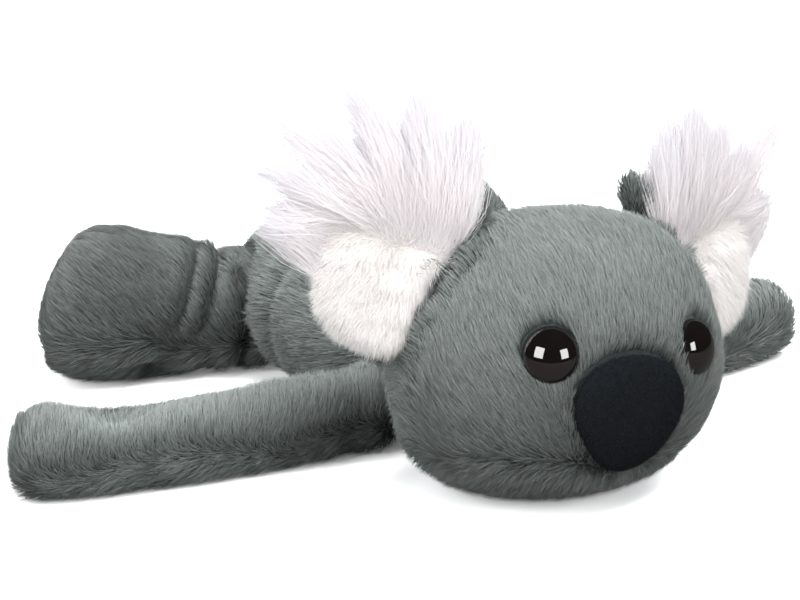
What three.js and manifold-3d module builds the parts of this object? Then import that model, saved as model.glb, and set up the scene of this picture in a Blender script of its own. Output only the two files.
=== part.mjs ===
// A plush koala that lies on its belly, with its arms and legs spread and its chin on the ground.
// Millimetres, +Z up. The face looks along -Y and the koala's right side is -X.
// The origin is on the ground, in the middle of the flat that the belly rests on.

import * as THREE from 'three';
import { mergeVertices } from 'three/addons/utils/BufferGeometryUtils.js';
import Module from 'manifold-3d';

const wasm = await Module();
wasm.setup();

// Cloth, gaps and cuts
const clothThickness = 4; // plush cloth with its pile lying down
const seamGap = 0.4; // room between two bodies that move at a seam
const fillingGap = 0.3; // room between a skin and the wad inside it
const restCut = 0.5; // depth of the flat that each soft piece rests on
const overrun = 8; // how far a cutting shape runs past what it cuts

// Torso
const torsoLength = 160;
const torsoHalfWidth = 42;
const torsoHeight = 63;
const torsoDropShare = 0.5; // share of the height below the spine
const torsoWidthShares = [0.78, 0.88, 0.97, 1, 1, 0.96, 0.88];
const torsoHeightShares = [0.84, 0.92, 0.98, 1, 1, 0.97, 0.9];

// Neck: a dome on the torso that the back of the head turns on
const neckRadius = 30;
const neckHeight = 36;
const neckSetIn = 10; // from the front end of the torso's spine to the centre of the dome
const neckMouthRadius = 16;

// Head
const headDepth = 106;
const headHalfWidth = 56.5;
const headHeight = 95.5;
const headDropShare = 0.46;
const headBackOverNeck = 3; // how far the back of the head reaches past the centre of the neck
const headAside = 5; // how far the head lies to its left
const headRollDegrees = 5; // the face leans a little to its left
const headTurnDegrees = -2.8; // and looks a little to its right
const headCheekShare = 0.06; // how much wider the cheeks are than the temples
const headWidthShares = [0.98, 1, 1, 1, 0.98];
const headHeightShares = [0.98, 1, 1, 1, 0.97];

// Arms
const armReach = 128; // shoulder centre to the tip of the paw
const armHalfWidth = 15.5;
const armHeight = 32;
const armDropShare = 0.48;
const armBow = 5; // how far the middle of the arm bends forward
const armAcross = 34; // shoulder centre from the middle of the body
const armSetIn = 22; // from the front end of the torso to the shoulder centre
const armSweepRightDegrees = 5; // how far each arm points behind square
const armSweepLeftDegrees = 11;
const armWidthShares = [1, 0.98, 0.96, 0.94, 0.93, 0.96, 1.05, 1.08];
const armHeightShares = [0.97, 0.96, 0.94, 0.92, 0.83, 0.8, 1, 1.08];

// Legs
const legReach = 75; // hip centre to the sole of the foot
const legHalfWidth = 25;
const legHeight = 50;
const legDropShare = 0.48;
const legBow = 2; // how far the middle of the leg bends forward
const legAcross = 32;
const legSetIn = 32; // from the rear end of the torso to the hip centre
const legSweepRightDegrees = 16; // how far each leg points behind square
const legSweepLeftDegrees = 31;
const legWidthShares = [0.92, 0.93, 0.98, 1.06, 1.14, 1.16];
const legHeightShares = [0.97, 1.09, 1.24, 1.34, 1.38, 1.37];

// Pellet pouch in the belly
const pouchLength = 54;
const pouchHalfWidth = 22;
const pouchHeight = 16;
const pouchAlong = -2;

// Safety eyes: a domed head, a ringed shank through the cloth and a toothed washer behind it
const eyeRadius = 9.2;
const eyeDome = 6.2;
const eyeSunk = 2; // from the top of the pile down to the underside of the eye
const eyeRim = 0.8;
const eyeAzimuthDegrees = 32;
const eyeElevationDegrees = 17.5;
const shankRadius = 2.4;
const shankLength = 15;
const shankRing = 0.6; // how far each ring stands out
const shankRingPitch = 1.8;
const shankRingCount = 5;
const washerRadius = 9;
const washerThickness = 1;
const washerHubRadius = 5.2;
const washerTeeth = 8;
const fitGap = 0.3; // room round the shank, the eye and the washer

// Nose pad, measured over the surface of the head
const noseHalfWidth = 19;
const noseHalfHeight = 20.5;
const noseTaperShare = 0.2; // how much wider the top is than the bottom
const noseDrop = 4.3; // how far the middle of the nose lies below the middle of the head
const noseProud = 1.2; // the rim above the pile
const noseCrown = 2.6; // the middle above the rim
const noseSunk = 2;

// Ears, in their own frame: u up along the sewn edge, v out from the head, w to the front
const earRootOut = new THREE.Vector3(-43, 12, 28); // right ear's sewn edge, from the middle of the head
const earSlip = { right: 0, left: -5 }; // the two ears are sewn on a little apart from their mirror image
const earUpDirection = new THREE.Vector3(0.523, 0, 0.853);
const earOutDirection = new THREE.Vector3(-0.785, 0.298, 0.481);
const earRadius = 28;
const earMiddleOut = 13; // from the sewn edge to the middle of the ear
const earMiddleDown = 5.5; // from the middle of the sewn edge down along it
const earBackThickness = 4;
const earRimShow = 1; // how far the grey back shows round the white
const earDish = 5; // how far the rim stands in front of the middle
const earRootRadius = 8; // the plump roll along the sewn edge
const earRootHalfLength = 27;
const earFrontThickness = 8;
const earFoldHalf = new THREE.Vector3(12, 6, 7); // the fold where the grey back curls over the top rim
const earFoldUp = { right: 20, left: 27 };
const earFoldOut = { right: -1, left: 6.5 };
const earFoldFront = 4;
const earBend = 15; // how far an ear bends either way, in degrees
const earSweepGap = 0.6; // room between the head and the ear's cloth over that bend
const earBorderOut = 7; // where the short pile ends and the long pile starts
const earBorderGap = 0.4;
const earBorderTiltDegrees = 31;

// Long pile, gathered in locks that taper to a point
const lockCount = 11;
const lockLength = 44;
const lockRadius = 7;
const lockSpreadDegrees = 104;
const lockLeanDegrees = 18; // how far the middle of the fan leans out from square to the border
const lockBendShare = 0.3;
const lockFlatShare = 0.6; // how thick a lock is for its width
const lockSides = 5;

// Faces: sides of the round shapes, and how coarse the hidden copies of a stuffed form are
const domeSides = 20;
const rootSides = 16;
const earSides = 18;
const turnedSides = 14;
const hiddenSides = 10;
const hiddenShare = 0.5;

const colours = {
  greyPlush: new THREE.MeshStandardMaterial({ color: 0x7a8481, roughness: 0.95, metalness: 0 }),
  whitePlush: new THREE.MeshStandardMaterial({ color: 0xe9e6e2, roughness: 0.95, metalness: 0 }),
  longPile: new THREE.MeshStandardMaterial({ color: 0xf1f0f4, roughness: 0.9, metalness: 0 }),
  blackVelour: new THREE.MeshStandardMaterial({ color: 0x15161a, roughness: 1, metalness: 0 }),
  eyePlastic: new THREE.MeshStandardMaterial({ color: 0x0a0807, roughness: 0.08, metalness: 0 }),
  washerPlastic: new THREE.MeshStandardMaterial({ color: 0xdedbd2, roughness: 0.5, metalness: 0 }),
  filling: new THREE.MeshStandardMaterial({ color: 0xf4f3ef, roughness: 1, metalness: 0 }),
  pouchCloth: new THREE.MeshStandardMaterial({ color: 0xc9c2b4, roughness: 0.95, metalness: 0 }),
};

const up = new THREE.Vector3(0, 0, 1);
const alongX = new THREE.Vector3(1, 0, 0);
const alongY = new THREE.Vector3(0, 1, 0);
const radians = THREE.MathUtils.degToRad;

// Solids for the cuts and joins

function solidOf(geometry) {
  const bare = geometry.clone();
  bare.deleteAttribute('normal');
  bare.deleteAttribute('uv');
  const merged = mergeVertices(bare);
  return new wasm.Manifold(new wasm.Mesh({
    numProp: 3,
    vertProperties: new Float32Array(merged.getAttribute('position').array),
    triVerts: new Uint32Array(merged.index.array),
  }));
}

function geometryOf(solid) {
  const mesh = solid.getMesh();
  const geometry = new THREE.BufferGeometry();
  geometry.setAttribute('position', new THREE.BufferAttribute(mesh.vertProperties, 3));
  geometry.setIndex(new THREE.BufferAttribute(mesh.triVerts, 1));
  geometry.computeVertexNormals();
  return geometry;
}

function pieceOf(name, geometry, material) {
  const mesh = new THREE.Mesh(geometry, material);
  mesh.name = name;
  return mesh;
}

// A ball whose poles lie on the axis it turns on.
function ball(radius, centre, sides, axis = up) {
  const geometry = new THREE.SphereGeometry(radius, sides, sides / 2);
  geometry.applyQuaternion(new THREE.Quaternion().setFromUnitVectors(alongY, axis));
  return geometry.translate(centre.x, centre.y, centre.z);
}

// The radius of a socket whose flat faces still clear a ball that turns in it.
const socketRadius = (radius, sides) => (radius + seamGap) / Math.cos(Math.PI / sides);

// A round bar from one point to another.
function bar(radius, from, to, sides) {
  const along = new THREE.Vector3().subVectors(to, from);
  const geometry = new THREE.CylinderGeometry(radius, radius, along.length(), sides);
  geometry.translate(0, along.length() / 2, 0);
  geometry.applyQuaternion(new THREE.Quaternion().setFromUnitVectors(alongY, along.normalize()));
  return geometry.translate(from.x, from.y, from.z);
}

// Everything above a level, as far as the longest piece reaches.
function spaceAbove(level) {
  const reach = 2 * (torsoLength + armReach + headDepth);
  return solidOf(new THREE.BoxGeometry(reach, reach, reach).translate(0, 0, level + reach / 2));
}

// A mirrored shape has its faces wound the wrong way round. This turns them back.
function woundBack(geometry) {
  const order = geometry.index.array;
  for (let i = 0; i < order.length; i += 3) {
    [order[i], order[i + 1]] = [order[i + 1], order[i]];
  }
  geometry.computeVertexNormals();
  return geometry;
}

// Stuffed forms

// A smooth value between equally spaced shares, at t from 0 to 1.
function shareAt(shares, t) {
  const last = shares.length - 1;
  const k = Math.min(Math.floor(t * last), last - 1);
  const [a, b, c, d] = [k - 1, k, k + 1, k + 2].map((i) => shares[Math.min(Math.max(i, 0), last)]);
  const s = t * last - k;
  return b + 0.5 * s * (c - a + s * (2 * a - 5 * b + 4 * c - d + s * (3 * (b - c) + d - a)));
}

// Rings of points joined into one closed skin, with a pole at each end.
function skinThrough(rings, firstPole, lastPole) {
  const sides = rings[0].length;
  const points = [firstPole, ...rings.flat(), lastPole];
  const order = [];
  for (let i = 0; i < sides; i++) {
    const j = (i + 1) % sides;
    order.push(0, 1 + i, 1 + j);
    for (let k = 0; k + 1 < rings.length; k++) {
      const near = 1 + k * sides;
      const far = near + sides;
      order.push(near + i, far + i, near + j, near + j, far + i, far + j);
    }
    const end = 1 + (rings.length - 1) * sides;
    order.push(points.length - 1, end + j, end + i);
  }
  const geometry = new THREE.BufferGeometry().setFromPoints(points);
  geometry.setIndex(order);
  geometry.computeVertexNormals();
  return geometry;
}

// A stuffed form round a level spine. Its girth swells and tapers by its shares, and its ends are round.
// Hidden copies of a form are made coarser by a share.
function stuffedForm(form, detailShare = 1) {
  const rings = [];
  const ringCount = Math.round(form.ringCount * detailShare);
  const sideCount = Math.round(form.sideCount * detailShare);
  for (let k = 1; k < ringCount; k++) {
    const t = (1 - Math.cos((Math.PI * k) / ringCount)) / 2;
    const girth = (1 - Math.abs(2 * t - 1) ** form.endPower) ** (1 / form.endPower);
    const centre = form.spine.getPoint(t);
    const forward = form.spine.getTangent(t);
    const across = new THREE.Vector3().crossVectors(forward, up).normalize();
    const halfWidth = form.halfWidth * girth * shareAt(form.widthShares, t);
    const rise = form.rise * girth * shareAt(form.heightShares, t);
    const drop = form.drop * girth;
    const ring = [];
    for (let i = 0; i < sideCount; i++) {
      const angle = (2 * Math.PI * i) / sideCount;
      const sine = Math.sin(angle);
      const height = sine > 0 ? rise * sine : drop * sine;
      const width = halfWidth * Math.cos(angle) * (1 - form.cheekShare * sine);
      ring.push(centre.clone().addScaledVector(across, width).addScaledVector(up, height));
    }
    rings.push(ring);
  }
  return skinThrough(rings, form.spine.getPoint(0), form.spine.getPoint(1));
}

// The same form, smaller by a distance all over.
function shrunk(geometry, distance) {
  const copy = geometry.clone();
  const place = copy.getAttribute('position');
  const normal = copy.getAttribute('normal');
  for (let i = 0; i < place.count; i++) {
    place.setXYZ(
      i,
      place.getX(i) - distance * normal.getX(i),
      place.getY(i) - distance * normal.getY(i),
      place.getZ(i) - distance * normal.getZ(i),
    );
  }
  copy.computeVertexNormals();
  return copy;
}

const spineHeight = (height, dropShare) => height * dropShare - restCut;

const torsoSpineHeight = spineHeight(torsoHeight, torsoDropShare);
const torsoForm = {
  spine: new THREE.LineCurve3(
    new THREE.Vector3(0, -torsoLength / 2, torsoSpineHeight),
    new THREE.Vector3(0, torsoLength / 2, torsoSpineHeight),
  ),
  halfWidth: torsoHalfWidth,
  rise: torsoHeight * (1 - torsoDropShare),
  drop: torsoHeight * torsoDropShare,
  endPower: 2.7,
  cheekShare: 0.05,
  widthShares: torsoWidthShares,
  heightShares: torsoHeightShares,
  ringCount: 14,
  sideCount: 22,
};

const neckCentre = new THREE.Vector3(0, -torsoLength / 2 + neckSetIn, neckHeight);
const headBack = neckCentre.y + headBackOverNeck;
const headSpineHeight = spineHeight(headHeight, headDropShare);
const headForm = {
  spine: new THREE.LineCurve3(
    new THREE.Vector3(headAside, headBack, headSpineHeight),
    new THREE.Vector3(headAside, headBack - headDepth, headSpineHeight),
  ),
  halfWidth: headHalfWidth,
  rise: headHeight * (1 - headDropShare),
  drop: headHeight * headDropShare,
  endPower: 2.25,
  cheekShare: headCheekShare,
  widthShares: headWidthShares,
  heightShares: headHeightShares,
  ringCount: 16,
  sideCount: 26,
};

// A limb lies along its own X axis, with the centre of its sewn root at the origin.
function limbSpine(reach, bow) {
  const root = new THREE.Vector3(0, 0, 0);
  const middle = new THREE.Vector3(reach / 2, 2 * bow, 0);
  const tip = new THREE.Vector3(reach, 0, 0);
  return new THREE.QuadraticBezierCurve3(root, middle, tip);
}

const armForm = (sign) => ({
  spine: limbSpine(armReach, -sign * armBow),
  halfWidth: armHalfWidth,
  rise: armHeight * (1 - armDropShare),
  drop: armHeight * armDropShare,
  endPower: 6,
  cheekShare: 0,
  widthShares: armWidthShares,
  heightShares: armHeightShares,
  ringCount: 10,
  sideCount: 14,
});

const legForm = (sign) => ({
  spine: limbSpine(legReach, -sign * legBow),
  halfWidth: legHalfWidth,
  rise: legHeight * (1 - legDropShare),
  drop: legHeight * legDropShare,
  endPower: 3.4,
  cheekShare: 0,
  widthShares: legWidthShares,
  heightShares: legHeightShares,
  ringCount: 10,
  sideCount: 16,
});

// Torso

const torsoOuter = stuffedForm(torsoForm);
const torsoInner = stuffedForm(torsoForm, hiddenShare);
const neckMouth = solidOf(bar(
  neckMouthRadius,
  neckCentre,
  new THREE.Vector3(neckCentre.x, neckCentre.y - neckRadius - overrun, neckCentre.z),
  24,
));

const sides = [
  { name: 'right', sign: -1, armSweep: armSweepRightDegrees, legSweep: legSweepRightDegrees },
  { name: 'left', sign: 1, armSweep: armSweepLeftDegrees, legSweep: legSweepLeftDegrees },
];
const armRootRadius = armHeight * armDropShare + restCut;
const legRootRadius = legHeight * legDropShare + restCut;
const armRootHeight = spineHeight(armHeight, armDropShare);
const legRootHeight = spineHeight(legHeight, legDropShare);
const shoulderAlong = -torsoLength / 2 + armSetIn;
const hipAlong = torsoLength / 2 - legSetIn;
const shoulderAt = (sign) => new THREE.Vector3(sign * armAcross, shoulderAlong, armRootHeight);
const hipAt = (sign) => new THREE.Vector3(sign * legAcross, hipAlong, legRootHeight);

// The room that the four limb roots take out of the torso.
function limbSockets() {
  let room = null;
  for (const { sign } of sides) {
    const arm = solidOf(ball(socketRadius(armRootRadius, rootSides), shoulderAt(sign), rootSides));
    const leg = solidOf(ball(socketRadius(legRootRadius, rootSides), hipAt(sign), rootSides));
    room = room ? room.add(arm).add(leg) : arm.add(leg);
  }
  return room;
}

function torsoPieces() {
  const sockets = limbSockets();
  const dome = solidOf(ball(neckRadius, neckCentre, domeSides, alongX));
  const outer = solidOf(torsoOuter).add(dome).intersect(spaceAbove(0));
  const hollow = solidOf(shrunk(torsoInner, clothThickness))
    .add(solidOf(ball(neckRadius - clothThickness, neckCentre, rootSides)))
    .intersect(spaceAbove(clothThickness));
  const skin = outer.subtract(hollow).subtract(neckMouth).subtract(sockets);

  const inset = clothThickness + fillingGap;
  const pouchSpace = solidOf(stuffedForm(pouchForm(fillingGap)));
  const wad = solidOf(shrunk(torsoInner, inset))
    .add(solidOf(ball(neckRadius - inset, neckCentre, rootSides)))
    .intersect(spaceAbove(inset))
    .subtract(sockets)
    .subtract(pouchSpace);
  const pouch = solidOf(stuffedForm(pouchForm(0)))
    .intersect(solidOf(shrunk(torsoInner, inset)))
    .intersect(spaceAbove(inset));
  return [
    pieceOf('torso_skin', geometryOf(skin), colours.greyPlush),
    pieceOf('torso_filling', geometryOf(wad), colours.filling),
    pieceOf('pellet_pouch', geometryOf(pouch), colours.pouchCloth),
  ];
}

// The pouch lies on the belly cloth. With room added it is the hollow that the filling leaves for it.
function pouchForm(room) {
  const height = clothThickness + fillingGap;
  return {
    spine: new THREE.LineCurve3(
      new THREE.Vector3(0, pouchAlong - pouchLength / 2 - room, height),
      new THREE.Vector3(0, pouchAlong + pouchLength / 2 + room, height),
    ),
    halfWidth: pouchHalfWidth + room,
    rise: pouchHeight + room,
    drop: pouchHeight / 2,
    endPower: 3,
    cheekShare: 0,
    widthShares: [1, 1, 1],
    heightShares: [1, 1, 1],
    ringCount: 10,
    sideCount: 16,
  };
}

// Head

const headOuter = stuffedForm(headForm);
const headInner = stuffedForm(headForm, hiddenShare);
const headMiddle = new THREE.Vector3(headAside, headBack - headDepth / 2, headSpineHeight);
const headProbe = new THREE.Mesh(headOuter, new THREE.MeshBasicMaterial({ side: THREE.DoubleSide }));

// The way out from the middle of the head, in the leaning face: azimuth 0 is straight ahead, along -Y.
function wayOut(azimuth, elevation) {
  const turn = azimuth + radians(headTurnDegrees);
  const way = new THREE.Vector3(
    Math.sin(turn) * Math.cos(elevation),
    -Math.cos(turn) * Math.cos(elevation),
    Math.sin(elevation),
  );
  return way.applyAxisAngle(alongY, radians(headRollDegrees));
}

// A point over the head's surface, lifted off it by a distance.
function onHead(azimuth, elevation, lift) {
  const way = wayOut(azimuth, elevation);
  const [hit] = new THREE.Raycaster(headMiddle, way).intersectObject(headProbe);
  return hit.point.addScaledVector(way, lift);
}

// The nose pad follows the head. Its rim, crown and sunk back are lifts over the surface.
function nosePad(room) {
  const headRadius = headDepth / 2;
  const ringShares = [0.4, 0.7, 0.9, 1];
  const sideCount = 22;
  const pointAt = (share, i, lift) => {
    const angle = (2 * Math.PI * i) / sideCount;
    const taper = 1 + noseTaperShare * Math.sin(angle);
    const x = share * (noseHalfWidth + room) * Math.cos(angle) * taper;
    const z = share * (noseHalfHeight + room) * Math.sin(angle) - noseDrop;
    return onHead(x / headRadius, z / headRadius, lift);
  };
  const ringAt = (share, lift) => Array.from({ length: sideCount }, (_, i) => pointAt(share, i, lift));
  const domeAt = (share) => room + noseProud + noseCrown * Math.sqrt(1 - share ** 2);
  const front = ringShares.map((share) => ringAt(share, domeAt(share)));
  const back = [1, 0.5].map((share) => ringAt(share, -noseSunk - room));
  const crown = onHead(0, -noseDrop / headRadius, room + noseProud + noseCrown);
  const seat = onHead(0, -noseDrop / headRadius, -noseSunk - room);
  return skinThrough([...front, ...back], crown, seat);
}

// A turn that carries +Z onto the way out through an eye, and the place on the head's surface.
function eyePlace(sign) {
  const azimuth = sign * radians(eyeAzimuthDegrees);
  const elevation = radians(eyeElevationDegrees);
  const place = new THREE.Object3D();
  place.position.copy(onHead(azimuth, elevation, 0));
  place.quaternion.setFromUnitVectors(up, wayOut(azimuth, elevation));
  place.updateMatrix();
  return place;
}

// A turned shape about +Z, from pairs of radius and height.
function turned(profile, steps) {
  const points = profile.map(([radius, height]) => new THREE.Vector2(radius, height));
  return new THREE.LatheGeometry(points, steps).rotateX(Math.PI / 2);
}

// A round cut about +Z between two heights.
function roundCut(radius, low, high) {
  return turned([[0, low], [radius, low], [radius, high], [0, high]], turnedSides);
}

// A washer hugs the inside of the cloth: its plate is a shallow cone.
const washerTop = -clothThickness - fitGap;
const washerConeDrop = washerRadius ** 2 / headDepth;

function eyeShape() {
  const profile = [[0, -eyeSunk - shankLength]];
  const barbed = shankRadius + shankRing;
  profile.push([shankRadius, -eyeSunk - shankLength + shankRadius]);
  for (let k = 0; k < shankRingCount; k++) {
    const low = -eyeSunk - shankLength + shankRadius + (k + 0.5) * shankRingPitch;
    const step = low + shankRingPitch / 2;
    profile.push([shankRadius, low], [barbed, step], [shankRadius, step]);
  }
  profile.push([shankRadius, -eyeSunk], [eyeRadius - eyeRim, -eyeSunk], [eyeRadius, -eyeSunk + eyeRim]);
  const domeSteps = 6;
  for (let k = 1; k < domeSteps; k++) {
    const angle = (Math.PI / 2) * (k / domeSteps);
    profile.push([eyeRadius * Math.cos(angle), -eyeSunk + eyeRim + eyeDome * Math.sin(angle)]);
  }
  profile.push([0, -eyeSunk + eyeRim + eyeDome]);
  return turned(profile, turnedSides);
}

function washerShape() {
  const plate = turned([
    [washerHubRadius - washerThickness, washerTop - washerThickness],
    [washerRadius, washerTop - washerThickness - washerConeDrop],
    [washerRadius, washerTop - washerConeDrop],
    [washerHubRadius - washerThickness, washerTop],
    [washerHubRadius - washerThickness, washerTop - washerThickness],
  ], turnedSides);
  const star = new THREE.Shape().absarc(0, 0, washerHubRadius, 0, 2 * Math.PI);
  const hole = new THREE.Path();
  const toothTip = shankRadius + fitGap;
  const toothRoot = washerHubRadius - washerThickness;
  for (let i = 0; i < 2 * washerTeeth; i++) {
    const angle = (Math.PI * i) / washerTeeth;
    const radius = i % 2 ? toothTip : toothRoot;
    const point = [radius * Math.cos(angle), radius * Math.sin(angle)];
    if (i) hole.lineTo(...point);
    else hole.moveTo(...point);
  }
  hole.closePath();
  star.holes.push(hole);
  const plain = { depth: washerThickness, bevelEnabled: false, curveSegments: turnedSides };
  const teeth = new THREE.ExtrudeGeometry(star, plain).translate(0, 0, washerTop - washerThickness);
  return geometryOf(solidOf(plate).add(solidOf(teeth)));
}

// The head's two solids, cut for the neck, the nose and the eyes.
function headPieces() {
  const neckCut = solidOf(ball(socketRadius(neckRadius, domeSides), neckCentre, domeSides, alongX));
  const noseCut = solidOf(nosePad(fitGap));
  const inset = clothThickness + fillingGap;
  let skin = solidOf(headOuter).intersect(spaceAbove(0))
    .subtract(solidOf(shrunk(headInner, clothThickness)).intersect(spaceAbove(clothThickness)))
    .subtract(neckCut)
    .subtract(noseCut);
  let wad = solidOf(shrunk(headInner, inset)).intersect(spaceAbove(inset)).subtract(neckCut);
  const pieces = [pieceOf('nose', nosePad(0), colours.blackVelour)];
  for (const { name, sign } of sides) {
    const place = eyePlace(sign);
    const shankEnd = -eyeSunk - shankLength - fitGap;
    const sink = roundCut(eyeRadius + fitGap, -eyeSunk - fitGap, overrun).applyMatrix4(place.matrix);
    const hole = roundCut(shankRadius + shankRing + fitGap, shankEnd, 0).applyMatrix4(place.matrix);
    const pocket = roundCut(washerRadius + fitGap, shankEnd, washerTop + fitGap).applyMatrix4(place.matrix);
    skin = skin.subtract(solidOf(sink)).subtract(solidOf(hole)).subtract(solidOf(pocket));
    wad = wad.subtract(solidOf(pocket));
    const eye = new THREE.Group();
    eye.applyMatrix4(place.matrix);
    eye.add(pieceOf(`eye_${name}`, eyeShape(), colours.eyePlastic));
    eye.add(pieceOf(`eye_washer_${name}`, washerShape(), colours.washerPlastic));
    pieces.push(eye);
  }
  for (const { name } of sides) {
    const socket = solidOf(earInPlace(earRootRoll(seamGap), name));
    skin = skin.subtract(socket);
    wad = wad.subtract(socket);
  }
  pieces.push(pieceOf('head_skin', geometryOf(skin), colours.greyPlush));
  pieces.push(pieceOf('head_filling', geometryOf(wad), colours.filling));
  return pieces;
}

// Ears

// The ear's own frame, set on the head, mirrored for the left ear, and leaning with the face.
function earPlacement(name) {
  const u = earUpDirection.clone().normalize();
  const v = earOutDirection.clone().addScaledVector(u, -u.dot(earOutDirection)).normalize();
  const w = new THREE.Vector3().crossVectors(u, v);
  const edge = earRootOut.clone().addScaledVector(u, earSlip[name]);
  const frame = new THREE.Matrix4().makeBasis(u, v, w).setPosition(edge);
  const mirror = new THREE.Matrix4().makeScale(name === 'left' ? -1 : 1, 1, 1);
  const lean = new THREE.Matrix4().makeRotationY(radians(headRollDegrees)).setPosition(headMiddle);
  return lean.multiply(mirror).multiply(frame);
}

function earInPlace(geometry, name) {
  const placed = geometry.clone().applyMatrix4(earPlacement(name));
  return name === 'left' ? woundBack(placed) : placed;
}

// The roll along the sewn edge: a spindle round the line that the ear bends on.
function earRootRoll(room) {
  const geometry = new THREE.SphereGeometry(1, rootSides, rootSides / 2);
  geometry.rotateZ(Math.PI / 2);
  const radius = room > 0 ? (earRootRadius + room) / Math.cos(Math.PI / rootSides) : earRootRadius;
  return geometry.scale(earRootHalfLength + room, radius, radius);
}

// The fold where the grey back curls over the top rim.
function earFold(name, room) {
  const geometry = new THREE.SphereGeometry(1, hiddenSides, hiddenSides / 2).rotateZ(Math.PI / 2);
  geometry.scale(earFoldHalf.x + room, earFoldHalf.y + room, earFoldHalf.z + room);
  return geometry.translate(earFoldUp[name], earFoldOut[name], earFoldFront);
}

// The room that the head takes from an ear that bends on its sewn edge, seen from the ear.
function headFromEar(name) {
  const placement = earPlacement(name);
  const root = new THREE.Vector3().applyMatrix4(placement);
  const axis = alongX.clone().transformDirection(placement);
  const grown = shrunk(headOuter, -earSweepGap);
  let room = null;
  for (const degrees of [-earBend, 0, earBend]) {
    const turn = new THREE.Matrix4().makeTranslation(root)
      .multiply(new THREE.Matrix4().makeRotationAxis(axis, radians(degrees)))
      .multiply(new THREE.Matrix4().makeTranslation(root.clone().negate()));
    const turnedHead = solidOf(grown.clone().applyMatrix4(turn));
    room = room ? room.add(turnedHead) : turnedHead;
  }
  return room;
}

const earSpotDistance = (u, v) => Math.hypot(u + earMiddleDown, v - earMiddleOut);
const earDishAt = (u, v) => earDish * (earSpotDistance(u, v) / earRadius) ** 2;

// A pad inside a round outline. Its back and front are lifts over the ear's dished middle surface.
function earPad(radius, backLift, frontLift, sideCount) {
  const ringShares = [0.5, 0.85, 1];
  const pointAt = (share, i, lift) => {
    const angle = (2 * Math.PI * i) / sideCount;
    const u = -earMiddleDown + share * radius * Math.cos(angle);
    const v = earMiddleOut + share * radius * Math.sin(angle);
    return new THREE.Vector3(u, v, earDishAt(u, v) + lift);
  };
  const bulge = (share) => Math.sqrt(1 - share ** 2);
  const rimLift = Math.max(backLift, 0);
  const front = ringShares.map((share) => Array.from({ length: sideCount }, (_, i) => (
    pointAt(share, i, rimLift + (frontLift - rimLift) * bulge(share)))));
  const inner = ringShares.slice(0, -1).toReversed();
  const back = inner.map((share) => Array.from({ length: sideCount }, (_, i) => (
    pointAt(share, i, rimLift + (backLift - rimLift) * bulge(share)))));
  const crown = new THREE.Vector3(-earMiddleDown, earMiddleOut, frontLift);
  const seat = new THREE.Vector3(-earMiddleDown, earMiddleOut, backLift);
  return skinThrough([...front, ...back], crown, seat);
}

// A lock of long pile: a bent cone from its root to its tip.
function lock(root, tip, radius) {
  const middle = root.clone().lerp(tip, 0.5);
  middle.x += lockBendShare * (tip.y - root.y);
  middle.z += lockBendShare * radius;
  const curve = new THREE.QuadraticBezierCurve3(root, middle, tip);
  const rings = [];
  for (const t of [0.05, 0.4, 0.75]) {
    const centre = curve.getPoint(t);
    const forward = curve.getTangent(t);
    const across = new THREE.Vector3().crossVectors(forward, up).normalize();
    const over = new THREE.Vector3().crossVectors(across, forward);
    const girth = radius * (1 - t) ** 0.7;
    rings.push(Array.from({ length: lockSides }, (_, i) => centre.clone()
      .addScaledVector(across, girth * Math.cos((2 * Math.PI * i) / lockSides))
      .addScaledVector(over, lockFlatShare * girth * Math.sin((2 * Math.PI * i) / lockSides))));
  }
  return skinThrough(rings, curve.getPoint(0), curve.getPoint(1));
}

// Half the space, on the long-pile side of the border, starting a distance past it.
function beyondBorder(distance) {
  const reach = 4 * (earRadius + lockLength);
  const half = new THREE.BoxGeometry(reach, reach, reach);
  half.translate(earBorderOut + distance + reach / 2, 0, 0);
  half.rotateZ(radians(earBorderTiltDegrees));
  return solidOf(half.translate(-earMiddleDown, earMiddleOut, 0));
}

function earPieces(name) {
  const halfBack = earBackThickness / 2;
  const placed = (solid) => solidOf(earInPlace(geometryOf(solid), name));
  const headRoom = headFromEar(name);
  const root = solidOf(earRootRoll(0));
  const backPad = solidOf(earPad(earRadius, -halfBack, halfBack, earSides)).add(solidOf(earFold(name, 0)));
  const back = placed(backPad).subtract(headRoom).add(placed(root));
  const padBack = halfBack + fitGap;
  const padFront = halfBack + earFrontThickness;
  const pad = solidOf(earPad(earRadius - earRimShow, padBack, padFront, earSides));
  const backRoom = solidOf(earRootRoll(fitGap)).add(solidOf(earFold(name, fitGap)))
    .add(solidOf(earPad(earRadius + fitGap, -padBack, padBack, earSides)));
  const front = placed(pad.subtract(backRoom).subtract(beyondBorder(0))).subtract(headRoom);
  let locks = pad;
  for (let i = 0; i < lockCount; i++) {
    const share = i / (lockCount - 1);
    const angle = radians(earBorderTiltDegrees + lockLeanDegrees + (share - 0.5) * lockSpreadDegrees);
    const way = new THREE.Vector3(Math.cos(angle), Math.sin(angle), 0);
    const from = new THREE.Vector3(-earMiddleDown, earMiddleOut, halfBack + earFrontThickness / 2);
    from.addScaledVector(way, 0.5 * earRadius);
    const length = lockLength * (1 - 0.25 * (i % 3) / 2);
    const tip = from.clone().addScaledVector(way, length);
    locks = locks.add(solidOf(lock(from, tip, lockRadius)));
  }
  const tuft = placed(locks.subtract(backRoom).intersect(beyondBorder(earBorderGap))).subtract(headRoom);
  return [
    pieceOf(`ear_back_${name}`, geometryOf(back), colours.greyPlush),
    pieceOf(`ear_front_${name}`, geometryOf(front), colours.whitePlush),
    pieceOf(`ear_tuft_${name}`, geometryOf(tuft), colours.longPile),
  ];
}

// Limbs

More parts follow.
